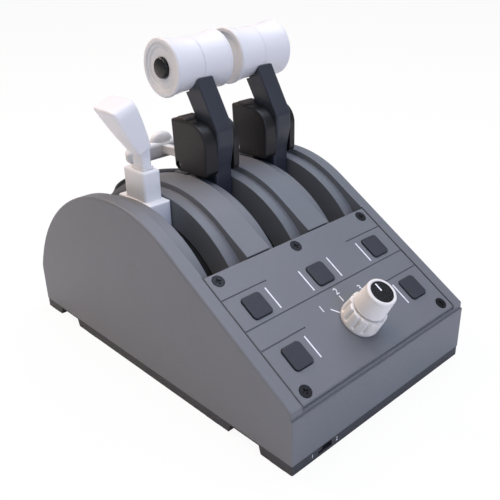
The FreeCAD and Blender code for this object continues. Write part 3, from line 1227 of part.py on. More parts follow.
def cable():
    mid = v.main_board_z + v.board_thick + v.port_tall / 2
    plug = body_named("cable_plug")
    a, b = v.plug_wide / 2, v.plug_tall / 2
    start = rear_y - v.wall + 2.6
    pad(plug, "XZ_Plane", rectangle(v.port_x - a, mid - b, v.port_x + a, mid + b, b * 0.8), "dims.plug_long",
        f"-({start} + dims.plug_long / 2)")
    relief = plug.newObject("PartDesign::AdditiveCone", "relief")
    relief.setExpression("Radius1", "dims.relief_radius")
    relief.setExpression("Radius2", "dims.cable_radius + 0.3")
    relief.setExpression("Height", "dims.relief_long")
    end = start + v.plug_long
    relief.Placement = FreeCAD.Placement(V(v.port_x, end, mid), FreeCAD.Rotation(V(0, 0, 1), V(0, 1, 0)))
    doc.recompute()
    out = end + v.relief_long
    floor = v.cable_radius + 0.05
    ring = (v.coil_out + v.coil_in) / 2
    cable_tube("cable_lead", [
        (v.port_x, out, mid), (v.port_x + 0.5, out + 13, mid - 0.6), (v.port_x + 4, out + 26, 6.0),
        (v.port_x + 11, out + 40, floor), (v.port_x + 22, out + 56, floor + 0.02),
        (v.coil_x - ring - 4, v.coil_y - 14, floor), (v.coil_x - ring + 1, v.coil_y + 4, floor)])
    coil = body_named("cable_coil", FreeCAD.Placement(V(v.coil_x, v.coil_y, 0), FreeCAD.Rotation()))
    turned(coil, "Revolution", "XZ_Plane", rounded([
        (v.coil_in, 0.0, 2.0), (v.coil_out, 0.0, 2.0), (v.coil_out, v.coil_tall, 2.0),
        (v.coil_in, v.coil_tall, 2.0)]), "Z_Axis")
    # the tail runs from the coil's inside to the far plug, which lies in the ring
    tail = [(v.coil_x + ring - 4, v.coil_y + 12, floor), (v.coil_x + ring - 6, v.coil_y - 8, floor),
            (v.coil_x + ring - 18, v.coil_y - 24, floor + 0.2), (v.coil_x + ring - 38, v.coil_y - 26, 4.2)]
    cable_tube("cable_tail", tail)
    turn = V(tail[-1][0] - tail[-2][0], tail[-1][1] - tail[-2][1], 0).normalize()
    frame = FreeCAD.Placement(V(*tail[-1]), FreeCAD.Rotation(V(0, 1, 0), turn))
    far = body_named("far_plug", frame)
    a, b = v.usb_wide / 2, v.usb_tall / 2
    pad(far, "XZ_Plane", rectangle(-a, -b, a, b, 1.5), "dims.usb_grip", "-dims.usb_grip / 2 - 8")
    nose = far.newObject("PartDesign::AdditiveCone", "far_relief")
    nose.setExpression("Radius1", "dims.cable_radius + 0.3")
    nose.setExpression("Radius2", "dims.relief_radius + 0.4")
    nose.Height = 8.5
    nose.Placement = FreeCAD.Placement(V(0, 0, 0), FreeCAD.Rotation(V(0, 0, 1), V(0, 1, 0)))
    doc.recompute()
    a, b = v.usb_shell_wide / 2, v.usb_shell_tall / 2
    pad(far, "XZ_Plane", rectangle(-a, -b, a, b, 0.3), "dims.usb_shell_long + 1",
        "-dims.usb_grip - 8 - (dims.usb_shell_long - 1) / 2")


# ---------------------------------------------------------------- build


top_shell()
base_plate()
rubber_feet()
panel_plate()
screw_group("panel_screws", panel_screw_places(), PANEL, "screw_head", "screw_sink", 0.0, "screw_long")
screw_group("base_screws", base_screw_places(), None, "base_screw_head", "screw_sink",
            v.base_top - v.tray_floor - v.screw_sink, "base_screw_long", 1)
for number, (x, up) in enumerate(button_places(), start=1):
    panel_button(number, x, up)
panel_electronics()
selector()
mode_switch()
shaft_group()
main_electronics()
speed_brake()
throttle(1, 0.0, "dims.lever_pitch * 0", -1)
throttle(2, v.lever_pitch, "dims.lever_pitch * 1", 1)
cable()
doc.recompute()

for item in doc.Objects:
    if {"Invalid", "Error"} & set(item.State):
        raise RuntimeError(f"{item.Name} failed: {item.State}")
os.makedirs("parts", exist_ok=True)
for piece in FINISHED:
    if piece.Shape.isNull() or not piece.Shape.isValid():
        raise RuntimeError(f"{piece.Label} has no valid shape")
    piece.Shape.exportStep(f"parts/{piece.Label}.step")
print(len(FINISHED), "pieces,", f"{sum(p.Shape.Volume for p in FINISHED) / 1000:.0f} cm3")
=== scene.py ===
import math

import bpy
import numpy as np
from mathutils import Matrix, Vector


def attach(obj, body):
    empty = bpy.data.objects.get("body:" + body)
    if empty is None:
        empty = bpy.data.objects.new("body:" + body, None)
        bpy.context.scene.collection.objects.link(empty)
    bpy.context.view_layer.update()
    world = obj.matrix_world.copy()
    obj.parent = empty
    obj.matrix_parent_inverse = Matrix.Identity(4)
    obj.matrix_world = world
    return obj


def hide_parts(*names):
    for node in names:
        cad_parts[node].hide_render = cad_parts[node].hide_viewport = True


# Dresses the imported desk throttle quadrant: its plastics and metals, its printed marks, its cable, and
# the stage it stands on. Sizes in this file are millimetres in the part's own frame, where X runs across
# the levers, Y to the rear and Z up from the ground. The stage alone is laid out in metres.

bl_info = {
    "name": "Throttle quadrant dressing",
    "version": (1, 0, 0),
    "blender": (4, 5, 0),
    "location": "3D View > Sidebar > Quadrant",
    "description": "Finishes, printed marks, cable and stage for the throttle quadrant",
    "category": "Object",
}

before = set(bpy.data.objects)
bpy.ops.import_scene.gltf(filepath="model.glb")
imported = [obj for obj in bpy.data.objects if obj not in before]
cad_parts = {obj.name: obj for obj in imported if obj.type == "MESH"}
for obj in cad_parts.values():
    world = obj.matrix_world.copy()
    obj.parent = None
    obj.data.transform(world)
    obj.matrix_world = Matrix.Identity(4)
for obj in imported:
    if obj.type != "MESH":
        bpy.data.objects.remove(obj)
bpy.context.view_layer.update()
MM = 0.001

PITCH = 50.0                        # from one lever's middle to the next
THROTTLES = ((1, 0.0), (2, PITCH))  # number and middle of each thrust lever
SLOPE = math.radians(31.06)         # how the panel rises to the rear
NOSE = (-118.96, 38.65)             # y and z of the panel's lower edge
DIAL = 22.4                         # the selector's axis, up the slope from that edge
PANEL = Matrix.Translation((0, *NOSE)) @ Matrix.Rotation(SLOPE, 4, "X")
ON_DIAL = PANEL @ Matrix.Translation((0, DIAL, 0))


# ---------------------------------------------------------------- colours and outlines


def linear(code):
    """The linear colour of an sRGB hex value: c / 12.92 up to 0.04045, else ((c + 0.055) / 1.055) ** 2.4."""
    parts = np.array([int(code[i:i + 2], 16) for i in (1, 3, 5)]) / 255
    low, high = parts / 12.92, ((parts + 0.055) / 1.055) ** 2.4
    return (*np.where(parts <= 0.04045, low, high), 1.0)


def softened(corners, steps=6):
    """Outline of a polygon whose corner (a, b, radius) is the arc that touches both its sides:
    centre on the bisector at radius / sin(half), swept from one touching point to the other."""
    points = np.array([c[:2] for c in corners], float)
    arcs = []
    for i, (_, _, radius) in enumerate(corners):
        here = points[i]
        one = points[i - 1] - here
        two = points[(i + 1) % len(points)] - here
        one, two = one / np.linalg.norm(one), two / np.linalg.norm(two)
        half = math.acos(np.clip(one @ two, -1, 1)) / 2
        centre = here + (one + two) / np.linalg.norm(one + two) * radius / math.sin(half)
        start = here + one * radius / math.tan(half) - centre
        end = here + two * radius / math.tan(half) - centre
        a0, a1 = math.atan2(start[1], start[0]), math.atan2(end[1], end[0])
        a1 += round((a0 - a1) / (2 * math.pi)) * 2 * math.pi
        angle = np.linspace(a0, a1, steps + 1)
        arcs.append(centre + radius * np.stack([np.cos(angle), np.sin(angle)], 1))
    return np.concatenate(arcs)


def box_outline(a0, b0, a1, b1, radius):
    """Outline of a rectangle from (a0, b0) to (a1, b1), its four corners arcs of that radius."""
    return softened([(a0, b0, radius), (a1, b0, radius), (a1, b1, radius), (a0, b1, radius)])


def inward(ring, distance):
    """The outline moved in by distance along the mean normal of its two neighbouring sides."""
    side = np.roll(ring, -1, 0) - ring
    side /= np.linalg.norm(side, axis=1, keepdims=True)
    normal = np.stack([-side[:, 1], side[:, 0]], 1)
    mean = normal + np.roll(normal, 1, 0)
    length = np.linalg.norm(mean, axis=1, keepdims=True)
    area = (ring[:, 0] * np.roll(ring[:, 1], -1) - np.roll(ring[:, 0], -1) * ring[:, 1]).sum()
    return ring + np.sign(area) * mean / length * np.maximum(2 / length, 1) * distance


# ---------------------------------------------------------------- pieces


CREASE = math.radians(40)  # faces that meet more steeply than this keep a sharp edge
POLE = 1e-3                # radius at which a turned profile meets its axis, closed by a cap


def placed(mesh, place):
    """The mesh moved to its place, and from millimetres to metres."""
    mesh.transform(place)
    mesh.transform(Matrix.Scale(MM, 4))


def linked(name, mesh, body, material):
    """An object at the origin that shows the mesh and rides on a body."""
    mesh.materials.append(material)
    thing = bpy.data.objects.new(name, mesh)
    bpy.context.scene.collection.objects.link(thing)
    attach(thing, body)
    return thing


def piece(name, grid, faces, body, material, place):
    """A grid of points [ring, point] and its faces, made a piece with creases where it is steep."""
    mesh = bpy.data.meshes.new(name)
    mesh.from_pydata(grid.reshape(-1, 3).tolist(), [], faces)
    placed(mesh, place)
    mesh.validate()
    mesh.shade_smooth()
    mesh.set_sharp_from_angle(angle=CREASE)
    return linked(name, mesh, body, material)


def bands(rings, count, closed=False):
    """Faces between neighbouring rings of count points, and a cap on the first and last ring, or, where
    closed, faces from the last ring back to the first."""
    i, j = np.meshgrid(np.arange(rings if closed else rings - 1), np.arange(count), indexing="ij")
    k = (j + 1) % count
    above = (i + 1) % rings
    quads = np.stack([i * count + j, i * count + k, above * count + k, above * count + j], -1)
    faces = quads.reshape(-1, 4).tolist()
    if closed:
        return faces
    faces.append(list(range(count))[::-1])
    faces.append(list(range((rings - 1) * count, rings * count)))
    return faces


def rolled(rims, low, high, steps=5):
    """Heights and insets of a slab from low to high. Each rim is a quarter circle of its radius, which
    may be 0: height = radius (1 - cos t), inset = radius (1 - sin t), t from 0 to a right angle."""
    t = np.linspace(0, math.pi / 2, steps + 1)
    first, last = (np.stack([radius * (1 - np.cos(t)), radius * (1 - np.sin(t))], 1) if radius else
                   np.zeros((1, 2)) for radius in rims)
    return np.concatenate([(low, 0) + first, (high, 0) + last[::-1] * (-1, 1)])


def slab(name, outline, low, high, rims, body, material, place):
    """An outline carried from low to high along the third axis, its two rims rolled over."""
    levels = rolled(rims, low, high)
    rings = [inward(outline, inset) for inset in levels[:, 1]]
    return lofted(name, rings, levels[:, 0], body, material, place)


def turned(name, profile, body, material, place, steps=72, wave=None, closed=False):
    """A profile of (height, radius), from below outwards and up, turned about the third axis:
    x = r cos t, y = r sin t. wave(t, height, radius) gives the radius where it changes round the turn."""
    profile = np.array(profile, float)
    turn = np.linspace(0, 2 * math.pi, steps, endpoint=False)
    height, radius = profile[:, :1], profile[:, 1:]
    radius = np.maximum(radius, POLE) * np.ones(steps)
    if wave:
        radius = wave(turn[None], height, radius)
    grid = np.stack([radius * np.cos(turn), radius * np.sin(turn), height * np.ones(steps)], -1)
    return piece(name, grid, bands(len(profile), steps, closed), body, material, place)


def lofted(name, rings, heights, body, material, place):
    """Outlines of equal count stacked along the third axis at those heights, closed by flat caps."""
    grid = np.stack([np.column_stack([ring, np.full(len(ring), height)])
                     for ring, height in zip(rings, heights)])
    return piece(name, grid, bands(len(rings), len(rings[0])), body, material, place)


def crowded(low, high, count):
    """Heights from low to high that lie closer at both ends: low + (high - low) (1 - cos pi s) / 2."""
    return low + (high - low) * (1 - np.cos(np.linspace(0, math.pi, count))) / 2


def rounded_in(height, low, high, edge):
    """Inset of a rim rolled over by a quarter circle: edge - sqrt(edge^2 - (edge - d)^2), d from the end."""
    reach = edge - np.clip(np.minimum(height - low, high - height), 0, edge)
    return edge - np.sqrt(np.maximum(edge ** 2 - reach ** 2, 0))


def along_x(x, y=0.0, z=0.0):
    """Takes the third axis to +X, the first to +Y and the second to +Z, from that origin."""
    return Matrix(((0, 0, 1, x), (1, 0, 0, y), (0, 1, 0, z), (0, 0, 0, 1)))


# ---------------------------------------------------------------- finishes


DRIFT = 0.05              # how far a moulding's colour drifts to both sides, as a share of it
PATCHES = 28.0            # how many such patches lie along a metre
SMOOTHER, ROUGHER = 0.06, 0.08  # how far the roughness goes to both sides over the grain
GRAIN_DEPTH = 0.15 * MM   # of a texture whose relief is 1
PLASTIC_IOR, METAL_IOR = 1.46, 1.5


def node(tree, kind, settings=None, links=None):
    """A node of that kind with its sockets or properties set, and links {input: (node, output)}."""
    new = tree.nodes.new(kind)
    for key, value in (settings or {}).items():
        if isinstance(key, int) or key in new.inputs:
            new.inputs[key].default_value = value
        else:
            setattr(new, key, value)
    for key, (source, output) in (links or {}).items():
        tree.links.new(source.outputs[output], new.inputs[key])
    return new


def blank(block):
    """The emptied node tree of a material or a world."""
    block.use_nodes = True
    block.node_tree.nodes.clear()
    return block.node_tree


def finish(name, colour, roughness, grain, relief, rim, metallic, waffle):
    """A moulded or ground finish. grain is the size of its texture in millimetres, relief its depth,
    rim the width that light rounds its edges over, waffle the pitch of the cells that lie square to the
    panel, or None where it has none."""
    material = bpy.data.materials.new(name)
    tree = blank(material)
    place = node(tree, "ShaderNodeTexCoord")
    fine = node(tree, "ShaderNodeTexNoise", {"Scale": 1 / MM / grain / 2, "Detail": 3.0, "Roughness": 0.6},
                {"Vector": (place, "Object")})
    broad = node(tree, "ShaderNodeTexNoise", {"Scale": PATCHES, "Detail": 4.0}, {"Vector": (place, "Object")})
    colour = np.array(colour)
    drift = node(tree, "ShaderNodeMix", {"data_type": "RGBA", 6: (*(colour * (1 - DRIFT)), 1),
                                         7: (*np.minimum(colour * (1 + DRIFT), 1), 1)}, {0: (broad, "Fac")})
    speck = node(tree, "ShaderNodeMapRange",
                 {"From Min": 0.3, "From Max": 0.7, "To Min": roughness - SMOOTHER,
                  "To Max": roughness + ROUGHER},
                 {"Value": (fine, "Fac")})
    round_off = node(tree, "ShaderNodeBevel", {"Radius": rim * MM, "samples": 4})
    height = (fine, "Fac")
    if waffle:
        tilt = node(tree, "ShaderNodeMapping", {"Rotation": (-SLOPE, 0, 0)}, {"Vector": (place, "Object")})
        across, along = (node(tree, "ShaderNodeTexWave", {"bands_direction": axis,
                                                          "Scale": math.pi / 10 / waffle / MM},
                              {"Vector": (tilt, "Vector")}) for axis in "XY")
        cells = node(tree, "ShaderNodeMath", {"operation": "MULTIPLY"},
                     {0: (across, "Fac"), 1: (along, "Fac")})
        height = (node(tree, "ShaderNodeMath", {"operation": "MULTIPLY_ADD", 1: 0.4},
                       {0: (fine, "Fac"), 2: (cells, 0)}), 0)
    bump = node(tree, "ShaderNodeBump", {"Strength": relief, "Distance": GRAIN_DEPTH},
                {"Height": height, "Normal": (round_off, "Normal")})
    shader = node(tree, "ShaderNodeBsdfPrincipled",
                  {"Metallic": metallic, "IOR": METAL_IOR if metallic else PLASTIC_IOR},
                  {"Base Color": (drift, 2), "Roughness": (speck, "Result"), "Normal": (bump, "Normal")})
    node(tree, "ShaderNodeOutputMaterial", None, {"Surface": (shader, "BSDF")})
    return material


# name, colour, roughness, grain in mm, relief, edge rounding in mm
FINISHES = {
    # an eroded tool leaves a fine even grain, so light spreads wide and edges catch a soft line
    "housing": ("Spark-eroded grey ABS", "#6b6e72", 0.46, 0.45, 0.30, 0.5),
    # the same grain on a darker resin, which sinks the strip into the object's shadow
    "base": ("Spark-eroded charcoal ABS", "#333539", 0.55, 0.45, 0.30, 0.3),
    # glass-filled nylon comes out smoother, with a cool sheen down the arm's front
    "lever": ("Satin graphite nylon", "#2f333b", 0.38, 0.50, 0.22, 0.6),
    # grained black covers that only show their form at the rounded rims
    "cover": ("Spark-eroded black nylon", "#121112", 0.42, 0.45, 0.30, 0.7),
    # matt and unlit, so the slots read as dark openings
    "shield": ("Matt black nylon", "#0b0b0d", 0.70, 0.50, 0.20, 0.3),
    # polished tool with a light satin: broad soft highlights on pale plastic
    "white": ("Satin off-white ABS", "#e2e2e2", 0.36, 0.60, 0.10, 0.9),
    # a smoother black, deeper than the covers, for caps, plugs and switches
    "black": ("Satin black ABS", "#08090b", 0.25, 0.50, 0.10, 0.4),
    # moulded waffle, whose cells break up the light across each button
    "button": ("Waffle-moulded slate ABS", "#2b2e35", 0.55, 0.40, 0.55, 0.4),
    # a coarser brown-grey grain that the fingertip finds on the dark cover
    "tab": ("Grained taupe ABS", "#5f5650", 0.60, 0.70, 0.60, 0.3),
    # warmer than the levers' white, satin
    "selector": ("Satin cream ABS", "#e0ddd8", 0.42, 0.60, 0.12, 0.4),
    # blackened screws: a dull metal with dark recesses
    "oxide": ("Black oxide steel", "#1d1e21", 0.38, 0.30, 0.15, 0.2),
    # ground pins and shafts, bright with fine streaks of roughness
    "steel": ("Ground steel", "#9a9da1", 0.30, 0.25, 0.10, 0.2),
    # lacquer over copper, an even green gloss
    "board": ("Green solder mask on glass fibre", "#1c4a2c", 0.30, 0.60, 0.10, 0.1),
    # dry and dark, with almost no highlight
    "rubber": ("Moulded rubber", "#141414", 0.80, 0.50, 0.30, 0.3),
    # extruded jacket, a soft long highlight along each strand
    "jacket": ("Extruded PVC cable jacket", "#1b1c20", 0.45, 0.60, 0.10, 0.1),
    # flat ink on the grain, no gloss of its own
    "ink": ("Pad-printed white ink", "#e6e7ea", 0.55, 0.40, 0.10, 0.02),
}
METALS = {"oxide": 0.6, "steel": 1.0}  # how metallic: the oxide layer hides part of its steel
WAFFLES = {"button": 0.9}              # pitch of the cells in mm
SIDES = [f"throttle_{number}_" for number, _ in THROTTLES]
WEARS = {
    "housing": ["top_shell", "panel_plate"],
    "base": ["base_plate"],
    "lever": [side + "arm" for side in SIDES],
    "cover": [side + p for side in SIDES for p in ("pod_left", "pod_right")],
    "shield": ["speed_brake_hub"] + [side + "hub" for side in SIDES],
    "white": ["speed_brake_carrier", "speed_brake_neck", "speed_brake_head"] + [
        side + p for side in SIDES
        for p in ("knob_left", "knob_right", "screw_cover", "reverse_handle", "reverse_arm")],
    "black": ["selector_cap", "selector_encoder", "mode_switch_body", "mode_slider", "shaft_spacers",
              "cable_plug", "far_plug"] + [side + "disconnect_button" for side in SIDES],
    "button": [f"panel_button_{k}" for k in range(1, 6)],
    "tab": [side + "go_around_button" for side in SIDES],
    "selector": ["selector_ring", "selector_knob"],
    "oxide": ["panel_screws", "base_screws", "stand_screws"],
    "steel": ["pivot_shaft", "cable_socket", "selector_shaft", "shaft_stands"] + [
        side + p for side in SIDES for p in ("knob_screw", "reverse_pin")],
    "board": ["panel_board", "main_board"],
    "rubber": ["rubber_feet"],
    "jacket": ["cable_lead", "cable_coil", "cable_tail"],
}
made = {}


class QuadrantColours(bpy.types.PropertyGroup):
    """The base colour of every finish"""
    __annotations__ = {
        key: bpy.props.FloatVectorProperty(name=row[0], description=f"Base colour of {row[0].lower()}",
                                           size=3, default=linear(row[1])[:3], min=0.0, max=1.0,
                                           subtype="COLOR")
        for key, row in FINISHES.items()}


class QuadrantSizes(bpy.types.PropertyGroup):
    """The sizes that the dressing adds to the frame"""
    bar_wide: bpy.props.FloatProperty(name="Bar width", description="Width of the lines beside the buttons",
                                      default=0.9 * MM, unit="LENGTH")
    digit: bpy.props.FloatProperty(name="Digit height", default=6.0 * MM, unit="LENGTH",
                                   description="Height of the numbers round the selector")
    flute: bpy.props.FloatProperty(name="Flute depth", description="Depth of the selector ring's flutes",
                                   default=1.05 * MM, unit="LENGTH")
    groove: bpy.props.FloatProperty(name="Groove depth", description="Depth of the selector knob's grooves",
                                    default=0.16 * MM, unit="LENGTH")
    cable: bpy.props.FloatProperty(name="Cable diameter", description="Diameter of the cable's jacket",
                                   default=4.0 * MM, unit="LENGTH")


def size(name):
    """A size of the dressing in millimetres."""
    return getattr(bpy.context.scene.quadrant_sizes, name) / MM


def wear(key):
    """The finish of that name, made once."""
    if key not in made:
        name, _, roughness, grain, relief, rim = FINISHES[key]
        colour = getattr(bpy.context.scene.quadrant_colours, key)
        made[key] = finish(name, colour, roughness, grain, relief, rim, METALS.get(key, 0.0),
                           WAFFLES.get(key))
    return made[key]


class QUADRANT_OT_finishes(bpy.types.Operator):
    """Gives every solid of the frame the finish of the real material"""
    bl_idname = "quadrant.finishes"
    bl_label = "Finishes"

    def execute(self, context):
        for key, names in WEARS.items():
            for name in names:
                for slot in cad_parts[name].material_slots:
                    slot.material = wear(key)
        return {"FINISHED"}


# ---------------------------------------------------------------- white levers


# the head's own frame starts at its neck, and is canted to the left of the lever
HEAD_LOW, HEAD_HIGH, HEAD_RINGS = 2.6, 31.8, 56
HEAD_HALF, HEAD_WIDENS, HEAD_BOW = 4.7, 2.7, 0.7  # half its width, what the top adds, the sides' bow
HEAD_FRONT, HEAD_FRONT_LEAN = 15.9, 1.4           # y at the foot, and how far the top lies further back
HEAD_REAR, HEAD_REAR_LEAN = 26.6, 13.2
HEAD_BEND, HEAD_RIM, HEAD_CORNER = 5.5, 1.2, 1.7  # arcs of the front's top, of the ends, of the long edges
HEAD_Z, HEAD_CANT = 130, math.radians(21.1)


class QUADRANT_OT_speed_brake_head(bpy.types.Operator):
    """Models the speed brake lever's wedge head with its soft edges and bowed sides"""
    bl_idname = "quadrant.speed_brake_head"
    bl_label = "Speed brake head"

    def execute(self, context):
        heights = crowded(HEAD_LOW, HEAD_HIGH, HEAD_RINGS)
        share = (heights - HEAD_LOW) / (HEAD_HIGH - HEAD_LOW)
        # half the width grows evenly with the height and bows out between its ends by a sine
        half = HEAD_HALF + HEAD_WIDENS * share + HEAD_BOW * np.sin(math.pi * share)
        # the front's upper corner is an arc of HEAD_BEND, the rear leans back all the way up
        over = np.clip(heights - (HEAD_HIGH - HEAD_BEND), 0, HEAD_BEND)
        front = HEAD_FRONT + HEAD_FRONT_LEAN * share + HEAD_BEND - np.sqrt(HEAD_BEND ** 2 - over ** 2)
        rear = HEAD_REAR + HEAD_REAR_LEAN * share
        inset = rounded_in(heights, HEAD_LOW, HEAD_HIGH, HEAD_RIM)
        rings = [box_outline(-h + i, f + i, h - i, r - i, HEAD_CORNER)
                 for h, f, r, i in zip(half, front, rear, inset)]
        canted = Matrix.Translation((-PITCH, 0, HEAD_Z)) @ Matrix.Rotation(-HEAD_CANT, 4, "Y")
        head = lofted("speed_brake_head_soft", rings, heights, "speed_brake", wear("white"), canted)
        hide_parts("speed_brake_head")
        return {"FINISHED"}


SIDEWAYS, UPRIGHT = along_x(-PITCH), Matrix.Translation((-PITCH, 0, 0))
# outline and the radius of its corners, where the slab starts and ends, radii of its rims, how it lies
FOOT = {
    "root": ((8.6, 37.0, 28.4, 92.0, 0.5), -6.5, 6.5, (0.4, 0.4), SIDEWAYS),
    "block": ((8.0, 85.0, 39.5, 103.4, 1.2), -7.4, 7.4, (0.9, 0.9), SIDEWAYS),
    "box": ((-6.1, 13.6, 6.1, 33.8, 1.9), 102.0, 121.2, (0, 1.3), UPRIGHT),
}


class QUADRANT_OT_speed_brake_carrier(bpy.types.Operator):
    """Models the white foot of the speed brake lever: its root, the block in the slot and the box"""
    bl_idname = "quadrant.speed_brake_carrier"
    bl_label = "Speed brake foot"

    def execute(self, context):
        for name, (outline, low, high, rims, place) in FOOT.items():
            part = slab(f"speed_brake_{name}", box_outline(*outline), low, high, rims, "speed_brake",
                        wear("white"), place)
            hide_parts("speed_brake_carrier")
        return {"FINISHED"}


BAR_LEFT, BAR_RIGHT, BAR_RINGS = -25.6, 20.6, 60
BAR_Y, BAR_Z = 76.0, 109.8
BAR_SECTION = np.array((-4.9, -6.2, 4.9, 5.3, 3.0))  # from front and foot to rear and top, corner radius
BAR_CLOSES, BAR_END = 5.5, 0.985                     # length over which an end closes in, and how far it goes
DOME = (3.0, 76.2, 114.6)                            # middle of the thumb dome, from the lever's middle
DOME_RADIUS, DOME_RISE, DOME_POINTS = 6.0, 6.6, 14   # before it is drawn out to these half widths
DOME_HALF_LONG, DOME_HALF_DEEP = 8.9, 4.2
DOME_ROOT = [(-2.0, DOME_RADIUS), (-1.0, DOME_RADIUS)]


class QUADRANT_OT_reverse_handles(bpy.types.Operator):
    """Models the two reverse handles, each a soft bar with a thumb dome"""
    bl_idname = "quadrant.reverse_handles"
    bl_label = "Reverse handles"

    def execute(self, context):
        places = crowded(BAR_LEFT, BAR_RIGHT, BAR_RINGS)
        # near its ends the bar closes in like an ellipse, g = sqrt(1 - u^2), u from 0 to 1
        middle, half = (BAR_LEFT + BAR_RIGHT) / 2, (BAR_RIGHT - BAR_LEFT) / 2
        u = np.clip(1 - (half - np.abs(places - middle)) / BAR_CLOSES, 0, BAR_END)
        rings = [box_outline(*(BAR_SECTION * g)) for g in np.sqrt(1 - u ** 2)]
        t = np.linspace(0, math.pi / 2, DOME_POINTS)
        dome = DOME_ROOT + np.column_stack([DOME_RISE * np.sin(t), DOME_RADIUS * np.cos(t)]).tolist()
        drawn = Matrix.Diagonal((DOME_HALF_LONG / DOME_RADIUS, DOME_HALF_DEEP / DOME_RADIUS, 1, 1))
        for number, x in THROTTLES:
            body = f"throttle_{number}_reverse"
            bar = lofted(f"reverse_bar_{number}", rings, places, body, wear("white"),
                         along_x(x, BAR_Y, BAR_Z))
            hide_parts(f"throttle_{number}_reverse_handle")
            high = Matrix.Translation((x + DOME[0], *DOME[1:])) @ drawn
            turned(f"reverse_dome_{number}", dome, body, wear("white"), high)
        return {"FINISHED"}


# ---------------------------------------------------------------- the selector


FLUTES, FLUTE_POINTS = 12, 18
FLUTE_HALF = 0.26                   # half a flute, as a share of the pitch from one to the next
FLUTE_LOW, FLUTE_RAMP = 2.3, 0.7    # height over the panel where a flute starts, and how far it deepens
WELL = 10.0                         # inside this radius the ring has no flutes

# (height over the panel, radius): down the bore, out under the flange, up the flank and into the well
RING_PROFILE = [
    (8.2, 3.3), (-2.6, 3.3), (-2.6, 6.0), (0.3, 6.0), (0.3, 11.4), (0.4, 11.6), (0.6, 11.7), (2.1, 11.7),
    (2.3, 11.68), (2.6, 11.66), (3.0, 11.64), (5.8, 11.5), (8.6, 11.36), (10.9, 11.24), (11.3, 11.16),
    (11.52, 11.02), (11.6, 10.8), (11.6, 8.9), (11.5, 8.65), (11.2, 8.5), (8.2, 8.5)]
# from the end of the shaft's bore down, out round the foot, and over the rim to the cap's seat
KNOB_FOOT = [(23.9, 0.0), (23.9, 3.2), (9.6, 3.2), (9.6, 8.0), (12.7, 8.0), (12.7, 9.2), (12.8, 9.45),
             (13.05, 9.6)]
KNOB_RIM = [(24.4, 8.75), (25.6, 8.7), (26.1, 8.6), (26.45, 8.35), (26.6, 7.95), (26.6, 7.1), (26.5, 6.85),
            (26.3, 6.75), (25.8, 6.72), (25.8, 0.0)]
GROOVES_LOW, GROOVES_LONG, GROOVE_PITCH, GROOVE_POINTS = 13.2, 11, 0.75, 8
FLANK_RADIUS, FLANK_TAPER = 9.6, 0.85  # at the lowest groove, and what is lost up to the highest
KNOB_POINTS = 96


def fluted(turn, height, radius):
    """Radius less a flute, deep (1 + cos(pi u)) / 2 for u from 0 at its middle to 1 at its side, which
    starts over the ring's flange and stays out of its well."""
    apart = np.abs(turn * FLUTES / (2 * math.pi) % 1 - 0.5)
    deep = size("flute") * (0.5 + 0.5 * np.cos(math.pi * np.clip(apart / FLUTE_HALF, 0, 1)))
    return radius - deep * np.clip((height - FLUTE_LOW) / FLUTE_RAMP, 0, 1) * (radius > WELL)


class QUADRANT_OT_selector(bpy.types.Operator):
    """Models the selector's fluted ring and its knob with fine grooves and a rounded rim"""
    bl_idname = "quadrant.selector"
    bl_label = "Selector"

    def execute(self, context):
        ring = turned("selector_ring_fluted", RING_PROFILE, "selector_outer", wear("selector"), ON_DIAL,
                      FLUTES * FLUTE_POINTS, fluted, closed=True)
        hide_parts("selector_ring")
        # fine grooves round the knob's flank, deep (1 - cos) / 2, one at every GROOVE_PITCH
        height = np.arange(GROOVES_LOW, GROOVES_LOW + GROOVES_LONG, GROOVE_PITCH / GROOVE_POINTS)
        above = height - GROOVES_LOW
        deep = size("groove") * (0.5 - 0.5 * np.cos(2 * math.pi * above / GROOVE_PITCH))
        cone = FLANK_RADIUS - FLANK_TAPER * above / GROOVES_LONG
        flank = np.column_stack([height, cone - deep]).tolist()
        knob = turned("selector_knob_grooved", KNOB_FOOT + flank + KNOB_RIM, "selector_push",
                      wear("selector"), ON_DIAL, KNOB_POINTS)
        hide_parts("selector_knob")
        return {"FINISHED"}


# ---------------------------------------------------------------- printed marks


INK_SUNK, INK_PROUD = -0.05, 0.04  # a mark's foot under the surface and its face over it
# x and the two ends up the slope of the line beside each button
BARS = [(-37.9, 49.2, 63.6), (-11.6, 49.2, 63.6), (12.3, 49.2, 63.6), (39.0, 49.2, 63.6),
        (-38.1, 15.7, 29.8), (38.8, 15.7, 29.8)]
BAR_CORNER = 0.3
# the selector's places: angle, the tick's two ends from the axis, the number's x and its way up the slope
PLACES = ((-42.0, 11.7, 17.4, -16.6, 37.6), (0.0, 13.3, 17.3, 0.4, 42.6), (42.0, 11.7, 17.4, 16.6, 37.6))
TICK_HALF, TICK_CORNER = 0.35, 0.2
CAP_TOP, POINTER, POINTER_PROUD = 26.6, (-0.5, 0.6, 0.5, 5.6, 0.4), 0.05
# the numbers beside the mode switch: on the front, their height over the ground, their own height, their x
FRONT, SWITCH_UP, SWITCH_DIGIT, SWITCH_X = -120.02, 4.1, 3.4, (-60.0, -41.0)
LETTER_THICK, LETTER_OUT = 0.03, 0.02


def printed(name, outline, body, place, proud=INK_PROUD):
    """An outline of ink on a surface."""
    slab(name, outline, INK_SUNK, proud, (0, 0), body, wear("ink"), place)


def lettering(name, words, tall, body, place):
    """Flat characters of that height in millimetres, middle at the place's origin, made a mesh."""
    curve = bpy.data.curves.new(name, "FONT")
    curve.body = words
    curve.size = tall
    curve.align_x = "CENTER"
    curve.align_y = "CENTER"
    curve.extrude = LETTER_THICK
    loose = bpy.data.objects.new(name + "_text", curve)
    mesh = bpy.data.meshes.new_from_object(loose)
    bpy.data.objects.remove(loose)
    mesh.name = name
    placed(mesh, place)
    mesh.materials.clear()
    linked(name, mesh, body, wear("ink"))


